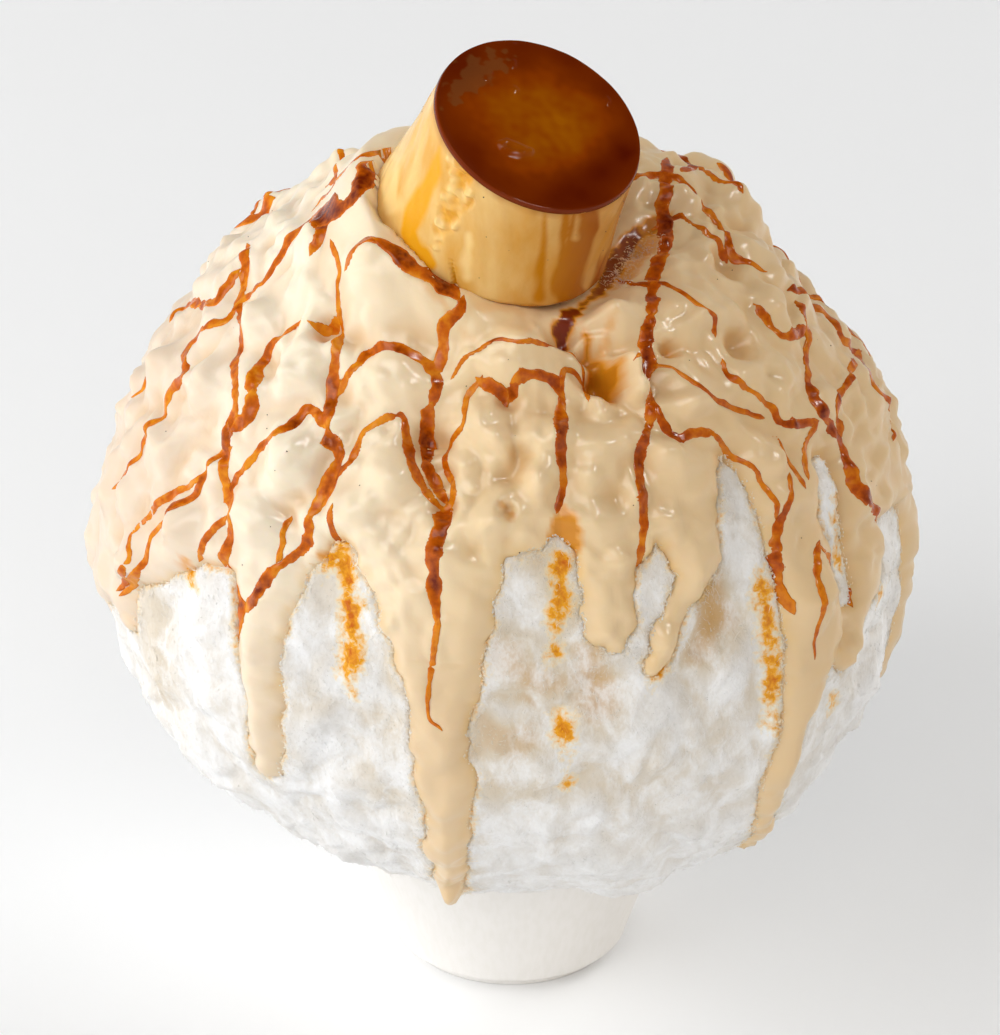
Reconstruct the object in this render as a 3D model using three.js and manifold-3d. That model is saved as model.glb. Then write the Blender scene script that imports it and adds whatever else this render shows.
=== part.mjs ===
// Shaved ice heaped high over a small white cup, coated with custard cream
// that runs down in drips, with a caramel pudding leaning on its top.
// Millimetres, +Z up, the front is -Y, the origin is the middle of the cup's foot.
import * as THREE from 'three';
import { mergeVertices } from 'three/addons/utils/BufferGeometryUtils.js';
import Module from 'manifold-3d';

const wasm = await Module();
wasm.setup();

// Driving dimensions. Azimuths run from the front towards +X and polar angles
// run from straight up, both in degrees about the middle of the mound.
const gap = 0.3;

const cupHeight = 45;
const cupWall = 2.6;
const cupFloor = 5.5;
const footRadius = 24.3;
const footHeight = 2.2;
const bodyRadiusAtTable = 26;
const wallFlare = 1 / 3;
const cornerRadius = 1.6;
const cupSegments = 40;
const fillingOverlap = 2;

const moundMiddle = new THREE.Vector3(-2, 0, 104);
const moundStep = 15;
const moundRadii = [87.5, 88, 88.5, 87, 87, 88, 89.5, 89.8, 86.8, 82.3, 78, 73.6, 70];
const sideLean = [1.5, -1.7, 1.8, -0.5];
const iceRows = 24;
const iceColumns = 42;

// Swellings and hollows of the heap: azimuth, polar angle, spread and height.
const lumps = [
  { azimuth: -95, polar: 9, spread: 12, height: 7 },
  { azimuth: -40, polar: 24, spread: 9, height: 6 },
  { azimuth: -13, polar: 49, spread: 7, height: -4 },
  { azimuth: 20, polar: 43, spread: 6, height: -4 },
  { azimuth: 58, polar: 20, spread: 9, height: -8 },
  { azimuth: 22, polar: 30, spread: 7, height: -4 },
  { azimuth: -1, polar: 62, spread: 8, height: 2 },
  { azimuth: 118, polar: 36, spread: 10, height: 4 },
  { azimuth: 108, polar: 50, spread: 9, height: -4 },
  { azimuth: 91, polar: 72, spread: 9, height: 2 },
  { azimuth: -93, polar: 76, spread: 9, height: -2 },
  { azimuth: 172, polar: 44, spread: 11, height: 3 },
  { azimuth: -150, polar: 62, spread: 11, height: -3 },
  { azimuth: 150, polar: 78, spread: 12, height: 2 },
  { azimuth: -160, polar: 100, spread: 12, height: 2 },
];

const creamThickness = 4.5;
const creamStep = 30;
const creamEdges = [64, 66, 78, 84, 86, 80, 78, 84, 88, 90, 80, 68];
const creamRows = 27;
const creamColumns = 48;
const creamFade = 5;
const creamDip = 2;

// Drips of the cream: where each starts and ends, and its widths there.
const drips = [
  { start: [-72, 84], end: [-71, 98], widths: [16, 11] },
  { start: [-41, 66], end: [-36, 104], widths: [13, 7] },
  { start: [-24, 62], end: [-17, 82], widths: [16, 12] },
  { start: [-9, 60], end: [-8, 126], widths: [24, 9] },
  { start: [14, 58], end: [16, 80], widths: [22, 10] },
  { start: [27, 56], end: [23, 79], widths: [18, 8] },
  { start: [51, 66], end: [48, 110], widths: [17, 9] },
  { start: [48, 104], end: [50, 128], widths: [9, 6] },
  { start: [63, 62], end: [60, 92], widths: [15, 8] },
];
const rearDrips = 7;
const rearStart = 92;
const rearSpan = 168;
const rearPolar = 72;
const rearWidths = [17, 8];
const rearReach = 24;
const rearUneven = 14;
const dripThickness = 3.6;
const dripRows = 8;
const dripColumns = 8;

// The pudding is a soft, squat cone between two circles that aren't parallel.
const puddingTop = { centre: [5.7, -33, 220], facing: [0.335, -0.412, 0.847], radius: 23.1 };
const puddingBase = { centre: [-4.6, -19.8, 191.3], facing: [0.312, -0.236, 0.92], radius: 26.8 };
const puddingHeight = 32.2;
const puddingSunk = 1.5;
const puddingEdge = 2.4;
const caramelDepth = 2.2;
const caramelEdge = 0.9;
const puddingClearance = 20;
const puddingSegments = 40;

const radians = THREE.MathUtils.degToRad;

// Smooth curve through a, b, c, d, read a fraction t of the way from b to c.
function smoothBetween(a, b, c, d, t) {
  const square = (2 * a - 5 * b + 4 * c - d) * t * t;
  const cube = (3 * b - 3 * c + d - a) * t * t * t;
  return 0.5 * (2 * b + (c - a) * t + square + cube);
}

// Value at an angle from values that stand at equal steps from the pole.
function alongMeridian(values, step, angle) {
  const last = values.length - 1;
  const place = Math.min(angle / step, last - 1e-6);
  const i = Math.floor(place);
  const before = values[Math.abs(i - 1)];
  const after = values[Math.min(i + 2, last)];
  return smoothBetween(before, values[i], values[i + 1], after, place - i);
}

// Value at an azimuth from values that stand at equal steps all the way round.
function aroundRing(values, step, azimuth) {
  const count = values.length;
  const place = ((azimuth % 360) + 360) % 360 / step;
  const i = Math.floor(place);
  const at = (k) => values[(i + k + count) % count];
  return smoothBetween(at(-1), at(0), at(1), at(2), place - i);
}

// Unit vector at an azimuth and polar angle.
function direction(azimuth, polar) {
  const a = radians(azimuth);
  const p = radians(polar);
  return new THREE.Vector3(Math.sin(p) * Math.sin(a), -Math.sin(p) * Math.cos(a), Math.cos(p));
}

// Bell-shaped swelling of one lump, seen in a direction.
function lumpHeight(lump, towards) {
  const angle = towards.angleTo(direction(lump.azimuth, lump.polar));
  return lump.height * Math.exp(-0.5 * (angle / radians(lump.spread)) ** 2);
}

// Distance from the middle of the mound to the surface of the ice.
function iceRadius(azimuth, polar) {
  const towards = direction(azimuth, polar);
  let radius = alongMeridian(moundRadii, moundStep, polar);
  sideLean.forEach((amount, k) => {
    radius += amount * Math.sin((k + 1) * radians(polar)) * Math.sin(radians(azimuth));
  });
  lumps.forEach((lump) => {
    radius += lumpHeight(lump, towards);
  });
  return radius;
}

// Closed skin of rows and columns between two poles, facing outwards.
function closedGrid(rows, columns, pointAt) {
  const positions = [];
  const indices = [];
  const add = (point) => positions.push(point.x, point.y, point.z);
  add(pointAt(0, 0));
  for (let row = 1; row < rows; row += 1) {
    for (let column = 0; column < columns; column += 1) {
      add(pointAt(row / rows, column / columns));
    }
  }
  add(pointAt(1, 0));
  const bottom = 1 + (rows - 1) * columns;
  const at = (row, column) => 1 + (row - 1) * columns + (column % columns);
  for (let column = 0; column < columns; column += 1) {
    indices.push(0, at(1, column), at(1, column + 1));
    indices.push(at(rows - 1, column), bottom, at(rows - 1, column + 1));
    for (let row = 1; row < rows - 1; row += 1) {
      const upperLeft = at(row, column);
      const upperRight = at(row, column + 1);
      const lowerLeft = at(row + 1, column);
      const lowerRight = at(row + 1, column + 1);
      indices.push(upperLeft, lowerLeft, lowerRight);
      indices.push(upperLeft, lowerRight, upperRight);
    }
  }
  const geometry = new THREE.BufferGeometry();
  geometry.setAttribute('position', new THREE.Float32BufferAttribute(positions, 3));
  geometry.setIndex(indices);
  return geometry;
}

// Solid for cutting and joining, from a closed geometry.
function solidOf(geometry) {
  const bare = geometry.clone();
  bare.deleteAttribute('normal');
  bare.deleteAttribute('uv');
  const merged = mergeVertices(bare, 1e-4);
  const corners = Array.from(merged.index.array);
  const triVerts = [];
  for (let k = 0; k < corners.length; k += 3) {
    const [a, b, c] = corners.slice(k, k + 3);
    if (a !== b && b !== c && c !== a) triVerts.push(a, b, c);
  }
  const mesh = new wasm.Mesh({
    numProp: 3,
    vertProperties: new Float32Array(merged.attributes.position.array),
    triVerts: new Uint32Array(triVerts),
  });
  return new wasm.Manifold(mesh);
}

// Geometry from a solid.
function geometryOf(solid) {
  const { vertProperties, triVerts } = solid.getMesh();
  const geometry = new THREE.BufferGeometry();
  geometry.setAttribute('position', new THREE.Float32BufferAttribute(vertProperties, 3));
  geometry.setIndex(Array.from(triVerts));
  return geometry;
}

// Solid turned about the vertical axis from a profile of [radius, height] pairs.
function turned(profile, segments) {
  const points = profile.map(([radius, height]) => new THREE.Vector2(radius, height));
  return solidOf(new THREE.LatheGeometry(points, segments).rotateX(Math.PI / 2));
}

// Quarter of a circle as profile points, from one angle to another.
function arc(radius, height, size, from, to, steps) {
  const points = [];
  for (let k = 0; k <= steps; k += 1) {
    const angle = radians(from + (to - from) * k / steps);
    points.push([radius + size * Math.cos(angle), height + size * Math.sin(angle)]);
  }
  return points;
}

// Radius of the cup's outer wall at a height.
function wallRadius(height) {
  return bodyRadiusAtTable + wallFlare * height;
}

// Cup: a flat foot, a rounded corner, a flaring wall with a rounded rim.
function makeCup() {
  const cornerHeight = footHeight + cornerRadius;
  const rim = cupWall / 2;
  const rimHeight = cupHeight - rim;
  const profile = [
    [0, 0],
    [footRadius, 0],
    [footRadius, footHeight],
    ...arc(wallRadius(cornerHeight) - cornerRadius, cornerHeight, cornerRadius, -80, 0, 3),
    ...arc(wallRadius(rimHeight) - rim, rimHeight, rim, 0, 180, 5),
    [wallRadius(cupFloor + cornerRadius) - cupWall, cupFloor + cornerRadius],
    [wallRadius(cupFloor) - cupWall - cornerRadius, cupFloor],
    [0, cupFloor],
  ];
  return turned(profile, cupSegments);
}

// Heap of ice as a closed round skin, grown outwards by an offset.
function makeHeap(offset) {
  const skin = closedGrid(iceRows, iceColumns, (u, v) => {
    const polar = 180 * u;
    const azimuth = 360 * v;
    const reach = iceRadius(azimuth, polar) + offset;
    return direction(azimuth, polar).multiplyScalar(reach).add(moundMiddle);
  });
  return solidOf(skin);
}

// Room that the cup takes up in the underside of the heap.
function makeSocket() {
  const top = cupHeight + gap;
  const profile = [[0, 0], [wallRadius(0) + gap, 0], [wallRadius(top) + gap, top], [0, top]];
  return turned(profile, cupSegments);
}

// Ice inside the cup, up to where it joins the heap.
function makeFilling() {
  const bottom = cupFloor + gap;
  const top = cupHeight + fillingOverlap;
  const corner = bottom + cornerRadius;
  const inner = (height) => wallRadius(height) - cupWall - 2 * gap;
  const profile = [
    [0, bottom],
    [inner(bottom) - cornerRadius, bottom],
    [inner(corner), corner],
    [inner(top), top],
    [0, top],
  ];
  return turned(profile, cupSegments);
}

// Cream: how far it stands above the ice, and below its edge how far it dips in.
function creamHeight(azimuth, polar) {
  const edge = aroundRing(creamEdges, creamStep, azimuth);
  const cover = THREE.MathUtils.smoothstep(edge - polar, -creamFade, creamFade);
  return (creamThickness + creamDip) * cover - creamDip;
}

// Sheet of cream over the heap, down to its wavy edge.
function makeSheet() {
  const skin = closedGrid(creamRows, creamColumns, (u, v) => {
    const polar = 180 * u;
    const azimuth = 360 * v;
    const reach = iceRadius(azimuth, polar) + creamHeight(azimuth, polar);
    return direction(azimuth, polar).multiplyScalar(reach).add(moundMiddle);
  });
  return solidOf(skin);
}

// One drip: a tapering, round-ended finger that lies on the ice.
function makeDrip({ start, end, widths }) {
  const length = radians(end[1] - start[1]) * moundRadii[0];
  const skin = closedGrid(dripRows, dripColumns, (u, v) => {
    const along = (1 - Math.cos(Math.PI * u)) / 2;
    const azimuth = THREE.MathUtils.lerp(start[0], end[0], along);
    const polar = THREE.MathUtils.lerp(start[1], end[1], along);
    const width = THREE.MathUtils.lerp(widths[0], widths[1], along) / 2;
    const fromEnd = Math.min(along, 1 - along) * length / width;
    const roundness = Math.sqrt(1 - (1 - Math.min(fromEnd, 1)) ** 2);
    const outward = direction(azimuth, polar);
    const sideways = direction(azimuth + 90, 90);
    const angle = 2 * Math.PI * v;
    const point = outward.clone().multiplyScalar(iceRadius(azimuth, polar));
    point.addScaledVector(outward, dripThickness * roundness * Math.cos(angle));
    point.addScaledVector(sideways, width * roundness * Math.sin(angle));
    return point.add(moundMiddle);
  });
  return solidOf(skin);
}

// Drips round the back, at even steps with uneven lengths.
function rearDrip(index) {
  const azimuth = rearStart + rearSpan * index / (rearDrips - 1);
  const reach = rearReach + rearUneven * Math.sin(2.4 * index + 1);
  return {
    start: [azimuth, rearPolar],
    end: [azimuth + 2 * Math.cos(3 * index), rearPolar + reach],
    widths: rearWidths,
  };
}

// Pudding: a cone with a rounded bottom edge, under a cap of caramel.
function puddingRadius(height) {
  return THREE.MathUtils.lerp(puddingBase.radius, puddingTop.radius, height / puddingHeight);
}

function makePudding(grow, height) {
  const edgeHeight = puddingEdge - puddingSunk;
  const edgeRadius = puddingRadius(edgeHeight) - puddingEdge;
  const profile = [
    [0, -puddingSunk - grow],
    ...arc(edgeRadius, edgeHeight, puddingEdge + grow, -90, 0, 4),
    [puddingRadius(height) + grow, height],
    [0, height],
  ];
  return turned(profile, puddingSegments);
}

// Caramel: the clear dark layer on the pudding, with a rounded rim.
function makeCaramel() {
  const bottom = puddingHeight - caramelDepth + gap;
  const shoulder = puddingHeight - caramelEdge;
  const profile = [
    [0, bottom],
    [puddingRadius(bottom), bottom],
    ...arc(puddingRadius(shoulder) - caramelEdge, shoulder, caramelEdge, 0, 90, 3),
    [0, puddingHeight],
  ];
  return turned(profile, puddingSegments);
}

// Place of a point of an end's own plane, in the dessert's frame.
function onEnd({ centre, facing }, x, y) {
  const up = new THREE.Vector3(...facing).normalize();
  const turn = new THREE.Quaternion().setFromUnitVectors(new THREE.Vector3(0, 0, 1), up);
  return new THREE.Vector3(x, y, 0).applyQuaternion(turn).add(new THREE.Vector3(...centre));
}

// Upright solid leant over, so that its height runs from the base plane to the top plane.
function leant(solid) {
  const geometry = geometryOf(solid);
  const position = geometry.attributes.position;
  for (let k = 0; k < position.count; k += 1) {
    const x = position.getX(k);
    const y = position.getY(k);
    const share = position.getZ(k) / puddingHeight;
    const place = onEnd(puddingBase, x, y).lerp(onEnd(puddingTop, x, y), share);
    position.setXYZ(k, place.x, place.y, place.z);
  }
  return solidOf(geometry);
}

// A named mesh with its own material.
function piece(name, solid, color, roughness) {
  const material = new THREE.MeshStandardMaterial({ color, roughness, metalness: 0 });
  const mesh = new THREE.Mesh(geometryOf(solid), material);
  mesh.name = name;
  return mesh;
}

const puddingRoom = leant(makePudding(gap, puddingHeight + puddingClearance));
const ice = makeHeap(0).subtract(makeSocket()).add(makeFilling()).subtract(puddingRoom);

let cream = makeSheet();
drips.forEach((drip) => {
  cream = cream.add(makeDrip(drip));
});
for (let index = 0; index < rearDrips; index += 1) {
  cream = cream.add(makeDrip(rearDrip(index)));
}
cream = cream.subtract(makeHeap(gap)).subtract(puddingRoom);

const dessert = new THREE.Group();
dessert.add(piece('cup', makeCup(), '#f1efeb', 0.8));
dessert.add(piece('ice_mound', ice, '#f4f5f6', 0.7));
dessert.add(piece('custard_cream', cream, '#ecd2a8', 0.45));
dessert.add(piece('pudding', leant(makePudding(0, puddingHeight - caramelDepth)), '#eebb68', 0.4));
dessert.add(piece('pudding_caramel', leant(makeCaramel()), '#84390a', 0.15));

export default dessert;
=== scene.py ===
"""Shaved ice dessert: a tall heap of shaved ice over a small cup, coated with custard cream,
drizzled with caramel sauce and topped with a leaning caramel pudding. Sizes are in millimetres."""
import math

import bpy
import numpy as np
from mathutils import Matrix, Vector


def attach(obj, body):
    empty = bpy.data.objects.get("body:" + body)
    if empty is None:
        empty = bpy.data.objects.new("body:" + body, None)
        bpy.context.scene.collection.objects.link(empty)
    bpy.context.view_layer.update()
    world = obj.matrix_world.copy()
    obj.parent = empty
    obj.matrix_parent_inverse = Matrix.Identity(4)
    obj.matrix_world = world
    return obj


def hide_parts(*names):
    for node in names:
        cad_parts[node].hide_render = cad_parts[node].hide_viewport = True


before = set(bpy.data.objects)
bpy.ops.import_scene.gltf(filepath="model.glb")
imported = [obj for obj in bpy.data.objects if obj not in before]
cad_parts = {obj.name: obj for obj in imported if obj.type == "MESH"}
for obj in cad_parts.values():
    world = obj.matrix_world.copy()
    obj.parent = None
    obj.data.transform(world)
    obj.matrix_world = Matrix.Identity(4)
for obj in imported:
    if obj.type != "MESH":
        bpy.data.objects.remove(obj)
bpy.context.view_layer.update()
MM = 0.001


# ---------------------------------------------------------------------------------------
# Camera: a long lens on a stand, looking down on the dessert from the front.
# Picture points are counted in a 1000 x 1035 frame, from its top left corner.
picture_width, picture_height = 1000, 1035
focal_length = 5280.0
camera_tilt = math.radians(27)
camera_distance = 1200.0
camera_aim = np.array([-2.5, 0.0, 109.7])
sensor_height = 36.0
far_limit = 20.0
to_right = np.array([1.0, 0.0, 0.0])
to_top = np.array([0.0, math.sin(camera_tilt), math.cos(camera_tilt)])
to_camera = np.array([0.0, -math.cos(camera_tilt), math.sin(camera_tilt)])
camera_place = camera_aim + to_camera * camera_distance


def unit(vectors):
    """The same directions with length one."""
    return vectors / np.linalg.norm(vectors, axis=-1, keepdims=True)


def lines_of_sight(marks):
    """Unit vectors from the camera through picture points: sideways and up by the offset
    from the picture's middle over the focal length, and one forwards."""
    marks = np.asarray(marks, float)
    across = (marks[..., :1] - picture_width / 2) / focal_length
    above = (picture_height / 2 - marks[..., 1:2]) / focal_length
    return unit(across * to_right + above * to_top - to_camera)


def picture_points(points):
    """Picture points of places in the frame, by central projection."""
    offset = points - camera_place
    depth = -(offset @ to_camera)
    x = picture_width / 2 + focal_length * (offset @ to_right) / depth
    y = picture_height / 2 - focal_length * (offset @ to_top) / depth
    return np.stack([x, y], -1)


camera = bpy.data.objects.new("camera", bpy.data.cameras.new("camera"))
bpy.context.scene.collection.objects.link(camera)
camera.data.sensor_fit = "VERTICAL"
camera.data.sensor_height = sensor_height
camera.data.lens = focal_length * sensor_height / picture_height
camera.data.clip_end = far_limit
camera_turn = Matrix((to_right, to_top, to_camera)).transposed().to_4x4()
camera.matrix_world = Matrix.Translation(Vector(camera_place * MM)) @ camera_turn
bpy.context.scene.camera = camera


# ---------------------------------------------------------------------------------------
# Shaved ice: frost shaved in long fine ribbons and heaped by hand round the cup's rim.
# It is a soft, uneven ball with creases and puffs, stained where sauce ran into it.
heap_middle = np.array([-2.0, 0.0, 104.0])
heap_step = 15.0
heap_radii = np.array([87.5, 88, 88.5, 87, 87, 88, 89.5, 89.8, 86.8, 82.3, 78, 73.6, 70])
side_lean = (1.5, -1.7, 1.8, -0.5)
# Swellings and hollows: azimuth, polar angle and spread in degrees, and height.
heap_lumps = (
    (-95, 9, 12, 7), (-40, 24, 9, 6), (-13, 49, 7, -4), (20, 43, 6, -4), (58, 20, 9, -8),
    (22, 30, 7, -4), (-1, 62, 8, 2), (118, 36, 10, 4), (108, 50, 9, -4), (91, 72, 9, 2),
    (-93, 76, 9, -2), (172, 44, 11, 3), (-150, 62, 11, -3), (150, 78, 12, 2), (-160, 100, 12, 2),
)
typical_radius = 90.0
ice_rows, ice_columns = 222, 448
# The rows lie closer together between these polar angles, which take this share of them, and
# the columns lie closer together towards the front.
ice_fine_from, ice_fine_to, ice_fine_share = 58.0, 147.0, 0.86
ice_front_pull = 0.45
# Frost: height, size and seed of its rounded puffs, its fine grain and its upright wisps, with
# how far, and at what size, places wander before these are read there.
frost_puffs = ((4.4, 24, 4), (2.5, 11, 5), (0.45, 5.0, 6))
frost_grain = ((0.25, 2.4, 7),)
frost_wisps = ((0.3, 1.7, 8),)
frost_wander, wisp_wander = (14, (1, 2, 3), 4), (7, (9, 10, 11), 3)
wisp_draw, frost_level = (1, 1, 0.35), -2.6


def heading(azimuth, polar):
    """Unit vectors from azimuths, counted from the front towards +X, and polar angles, both
    in degrees: (sin p sin a, -sin p cos a, cos p)."""
    a, p = np.radians(azimuth), np.radians(polar)
    return np.stack([np.sin(p) * np.sin(a), -np.sin(p) * np.cos(a), np.cos(p) + 0 * a], -1)


def angles_of(towards):
    """Azimuth and polar angle of unit vectors, in degrees."""
    azimuth = np.degrees(np.arctan2(towards[..., 0], -towards[..., 1]))
    return azimuth, np.degrees(np.arccos(np.clip(towards[..., 2], -1, 1)))


def smooth_between(a, b, c, d, t):
    """Curve through four evenly spaced values, read a share t of the way from b to c."""
    square = (2 * a - 5 * b + 4 * c - d) * t**2
    return 0.5 * (2 * b + (c - a) * t + square + (3 * b - 3 * c + d - a) * t**3)


def along_meridian(values, spacing, angle):
    """Smooth curve through values at equal steps from the pole, mirrored at the pole."""
    last = len(values) - 1
    place = np.minimum(angle / spacing, last - 1e-6)
    i = np.floor(place).astype(int)
    after = values[np.minimum(i + 2, last)]
    return smooth_between(values[np.abs(i - 1)], values[i], values[i + 1], after, place - i)


def around_ring(values, azimuth):
    """Smooth closed curve through values at equal steps of azimuth, starting at the front."""
    values = np.asarray(values, float)
    count = len(values)
    place = np.mod(azimuth, 360) / 360 * count
    i = np.floor(place).astype(int)
    at = [values[(i + k) % count] for k in (-1, 0, 1, 2)]
    return smooth_between(*at, place - i)


def noise(points, size, seed=0):
    """Smooth random field from -1 to 1: a random slope at each corner of cubes of this size,
    blended across the cube with the curve 6t^5 - 15t^4 + 10t^3."""
    place = points / size + 17.31 * seed
    cell = np.floor(place).astype(np.int64)
    inside = place - cell
    ease = inside**3 * (inside * (inside * 6 - 15) + 10)
    blend = np.zeros(points.shape[:-1])
    for corner in np.ndindex(2, 2, 2):
        at = cell + corner
        key = at[..., 0] * 73856093 ^ at[..., 1] * 19349663 ^ at[..., 2] * 83492791
        key = (key & 0x7FFFFFFF) * 1274126177 >> 7 & 0xFFFFFFFF
        height = (key & 0xFFFF) / 32767.5 - 1
        spin = (key >> 16) * (2 * math.pi / 65536)
        wide = np.sqrt(np.maximum(1 - height**2, 0))
        gap = inside - corner
        slope = wide * (np.cos(spin) * gap[..., 0] + np.sin(spin) * gap[..., 1]) + height * gap[..., 2]
        blend += slope * np.prod(np.where(corner, ease, 1 - ease), axis=-1)
    return np.clip(1.7 * blend, -1, 1)


def heap_radius(towards):
    """Distance from the heap's middle to its smooth outline: the meridian curve, leaning
    sideways by a few sines, with a bell-shaped swelling for each lump."""
    azimuth, polar = angles_of(towards)
    radius = along_meridian(heap_radii, heap_step, polar)
    for k, amount in enumerate(side_lean):
        radius = radius + amount * np.sin((k + 1) * np.radians(polar)) * np.sin(np.radians(azimuth))
    for lump_azimuth, lump_polar, width, height in heap_lumps:
        away = np.degrees(np.arccos(np.clip(towards @ heading(lump_azimuth, lump_polar), -1, 1)))
        radius = radius + height * np.exp(-0.5 * (away / width) ** 2)
    return radius


def on_heap(marks, rise=0.0, outline=heap_radius):
    """Directions from the heap's middle to where lines of sight through picture points meet
    the heap, found by sliding along each line until its distance fits the outline."""
    sight = lines_of_sight(marks)
    from_middle = camera_place - heap_middle
    middle_way = -(sight @ from_middle)
    nearest = np.linalg.norm(from_middle + sight * middle_way[..., None], axis=-1)
    reach = np.full(sight.shape[:-1], typical_radius)
    for _ in range(12):
        back_off = np.sqrt(np.maximum(reach**2 - nearest**2, 0))
        towards = unit(from_middle + sight * (middle_way - back_off)[..., None])
        reach = 0.5 * reach + 0.5 * (outline(towards) + rise)
    return towards


def band_depth(places, path, widths, scale=typical_radius):
    """How deep places lie inside a band along a path: half the band's width there less the
    distance to the nearest straight piece of the path. The scale turns gaps between
    directions into millimetres."""
    depth = np.full(places.shape[:-1], -np.inf)
    for a, b, wide_a, wide_b in zip(path[:-1], path[1:], widths[:-1], widths[1:]):
        along = b - a
        share = np.clip((places - a) @ along / max(along @ along, 1e-12), 0, 1)
        gap = np.linalg.norm(places - a - share[..., None] * along, axis=-1) * scale
        depth = np.maximum(depth, wide_a + (wide_b - wide_a) * share - gap)
    return depth


def deepest(places, bands, scale=typical_radius):
    """How deep places lie inside the deepest of several bands."""
    return np.max([band_depth(places, *each, scale) for each in bands], axis=0)


def soft_fold(values):
    """Size of a value with its sharp fold at nought rounded, which makes puffs that meet in
    soft creases."""
    return np.sqrt(values**2 + 0.02)


def uneven(place, layers):
    """Sum of random fields, each layer given by its height, size and seed."""
    return sum(height * noise(place, size, seed) for height, size, seed in layers)


def puffed(place, layers):
    """Sum of random fields folded into puffs, given likewise."""
    return sum(height * soft_fold(noise(place, size, seed)) for height, size, seed in layers)


def wandered(place, size, seeds, reach):
    """Places pushed about by three random fields of this size, up to this far."""
    return place + np.stack([noise(place, size, k) for k in seeds], -1) * reach


def frost_relief(towards):
    """Relief of the frost: rounded puffs with creases at three sizes, fine grain, and
    drawn-out wisps that swirl with the place."""
    place = wandered(towards * typical_radius, *frost_wander)
    wisps = uneven(wandered(place, *wisp_wander) * wisp_draw, frost_wisps)
    return puffed(place, frost_puffs) + uneven(place, frost_grain) + wisps + frost_level


def skin(rings):
    """Points and faces of a closed skin over rings of points, each end closed by a point in
    the middle of its ring. Rows run down and columns run anticlockwise seen from the start."""
    rows, columns = rings.shape[:2]
    ends = rings[0].mean(0)[None], rings[-1].mean(0)[None]
    points = np.concatenate([ends[0], rings.reshape(-1, 3), ends[1]])
    row, column = np.arange(rows - 1)[:, None], np.arange(columns)[None]
    upper_left = 1 + row * columns + column
    upper_right = 1 + row * columns + (column + 1) % columns
    quads = [upper_left, upper_left + columns, upper_right + columns, upper_right]
    column = np.arange(columns)
    beside = (column + 1) % columns
    last = 1 + (rows - 1) * columns
    start_fan = np.stack([0 * column, 1 + column, 1 + beside], -1)
    end_fan = np.stack([last + column, 0 * column + len(points) - 1, last + beside], -1)
    return points, [np.stack(quads, -1).reshape(-1, 4), start_fan, end_fan]


def over_skin(values):
    """Values on rings, spread to the points of their skin: each end takes its ring's mean."""
    return np.concatenate([[values[0].mean()], values.ravel(), [values[-1].mean()]])


def joined(parts):
    """Several skins as one: their points in a row, and their faces counted on."""
    points = np.concatenate([p for p, _ in parts])
    starts = np.cumsum([0] + [len(p) for p, _ in parts[:-1]])
    faces = [f + start for (_, group), start in zip(parts, starts) for f in group]
    return points, faces


def add_piece(name, points, faces, smooth=True):
    """Mesh object at the origin from points in millimetres and groups of faces."""
    mesh = bpy.data.meshes.new(name)
    mesh.vertices.add(len(points))
    mesh.vertices.foreach_set("co", (points * MM).astype(np.float32).ravel())
    corners = np.concatenate([f.ravel() for f in faces]).astype(np.int32)
    sizes = np.concatenate([np.full(len(f), f.shape[1]) for f in faces])
    mesh.loops.add(len(corners))
    mesh.loops.foreach_set("vertex_index", corners)
    mesh.polygons.add(len(sizes))
    mesh.polygons.foreach_set("loop_start", np.concatenate([[0], np.cumsum(sizes[:-1])]).astype(np.int32))
    mesh.update(calc_edges=True)
    mesh.polygons.foreach_set("use_smooth", np.full(len(sizes), smooth))
    piece = bpy.data.objects.new(name, mesh)
    bpy.context.scene.collection.objects.link(piece)
    return piece


def copies(points, faces):
    """Points and faces of many small shapes as one mesh. Each has the same faces over its own
    row of points."""
    starts = points.shape[1] * np.arange(len(points))[:, None, None]
    return points.reshape(-1, 3), [(np.array(faces) + starts).reshape(-1, 3)]


def paint(piece, name, values):
    """Stores one number for each point of the piece, which its material reads by name."""
    layer = piece.data.attributes.new(name, "FLOAT", "POINT")
    layer.data.foreach_set("value", np.clip(values, 0, 1).astype(np.float32))


def colour(red, green, blue):
    """Display colour from 0 to 255 as linear light, by the standard display curve."""
    share = np.array([red, green, blue]) / 255
    linear = np.where(share <= 0.04045, share / 12.92, ((share + 0.055) / 1.055) ** 2.4)
    return (*[float(v) for v in linear], 1.0)


def new_finish(name):
    """New material and its shader."""
    material = bpy.data.materials.new(name)
    material.use_nodes = True
    return material, material.node_tree.nodes["Principled BSDF"]


def feed(material, node, inputs):
    """Sets inputs of a node, in a material or the world, to values or other nodes' outputs."""
    for name, value in inputs.items():
        if isinstance(value, bpy.types.NodeSocket):
            material.node_tree.links.new(value, node.inputs[name])
        else:
            node.inputs[name].default_value = value


def step(material, kind, inputs, **settings):
    """Adds a shader node with its settings and inputs."""
    made = material.node_tree.nodes.new(kind)
    for name, value in settings.items():
        setattr(made, name, value)
    feed(material, made, inputs)
    return made


def grain(material, size, detail=3.0, stretch=(1, 1, 1), twist=0.0):
    """Random pattern with grains of this size in millimetres, stretched along the axes and
    twisted into curls."""
    place = step(material, "ShaderNodeTexCoord", {}).outputs["Object"]
    scaled = step(material, "ShaderNodeMapping", {"Vector": place, "Scale": stretch})
    made = step(material, "ShaderNodeTexNoise", {
        "Vector": scaled.outputs["Vector"], "Scale": 1 / (size * MM), "Detail": detail,
        "Distortion": twist})
    return made.outputs["Fac"]


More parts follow.
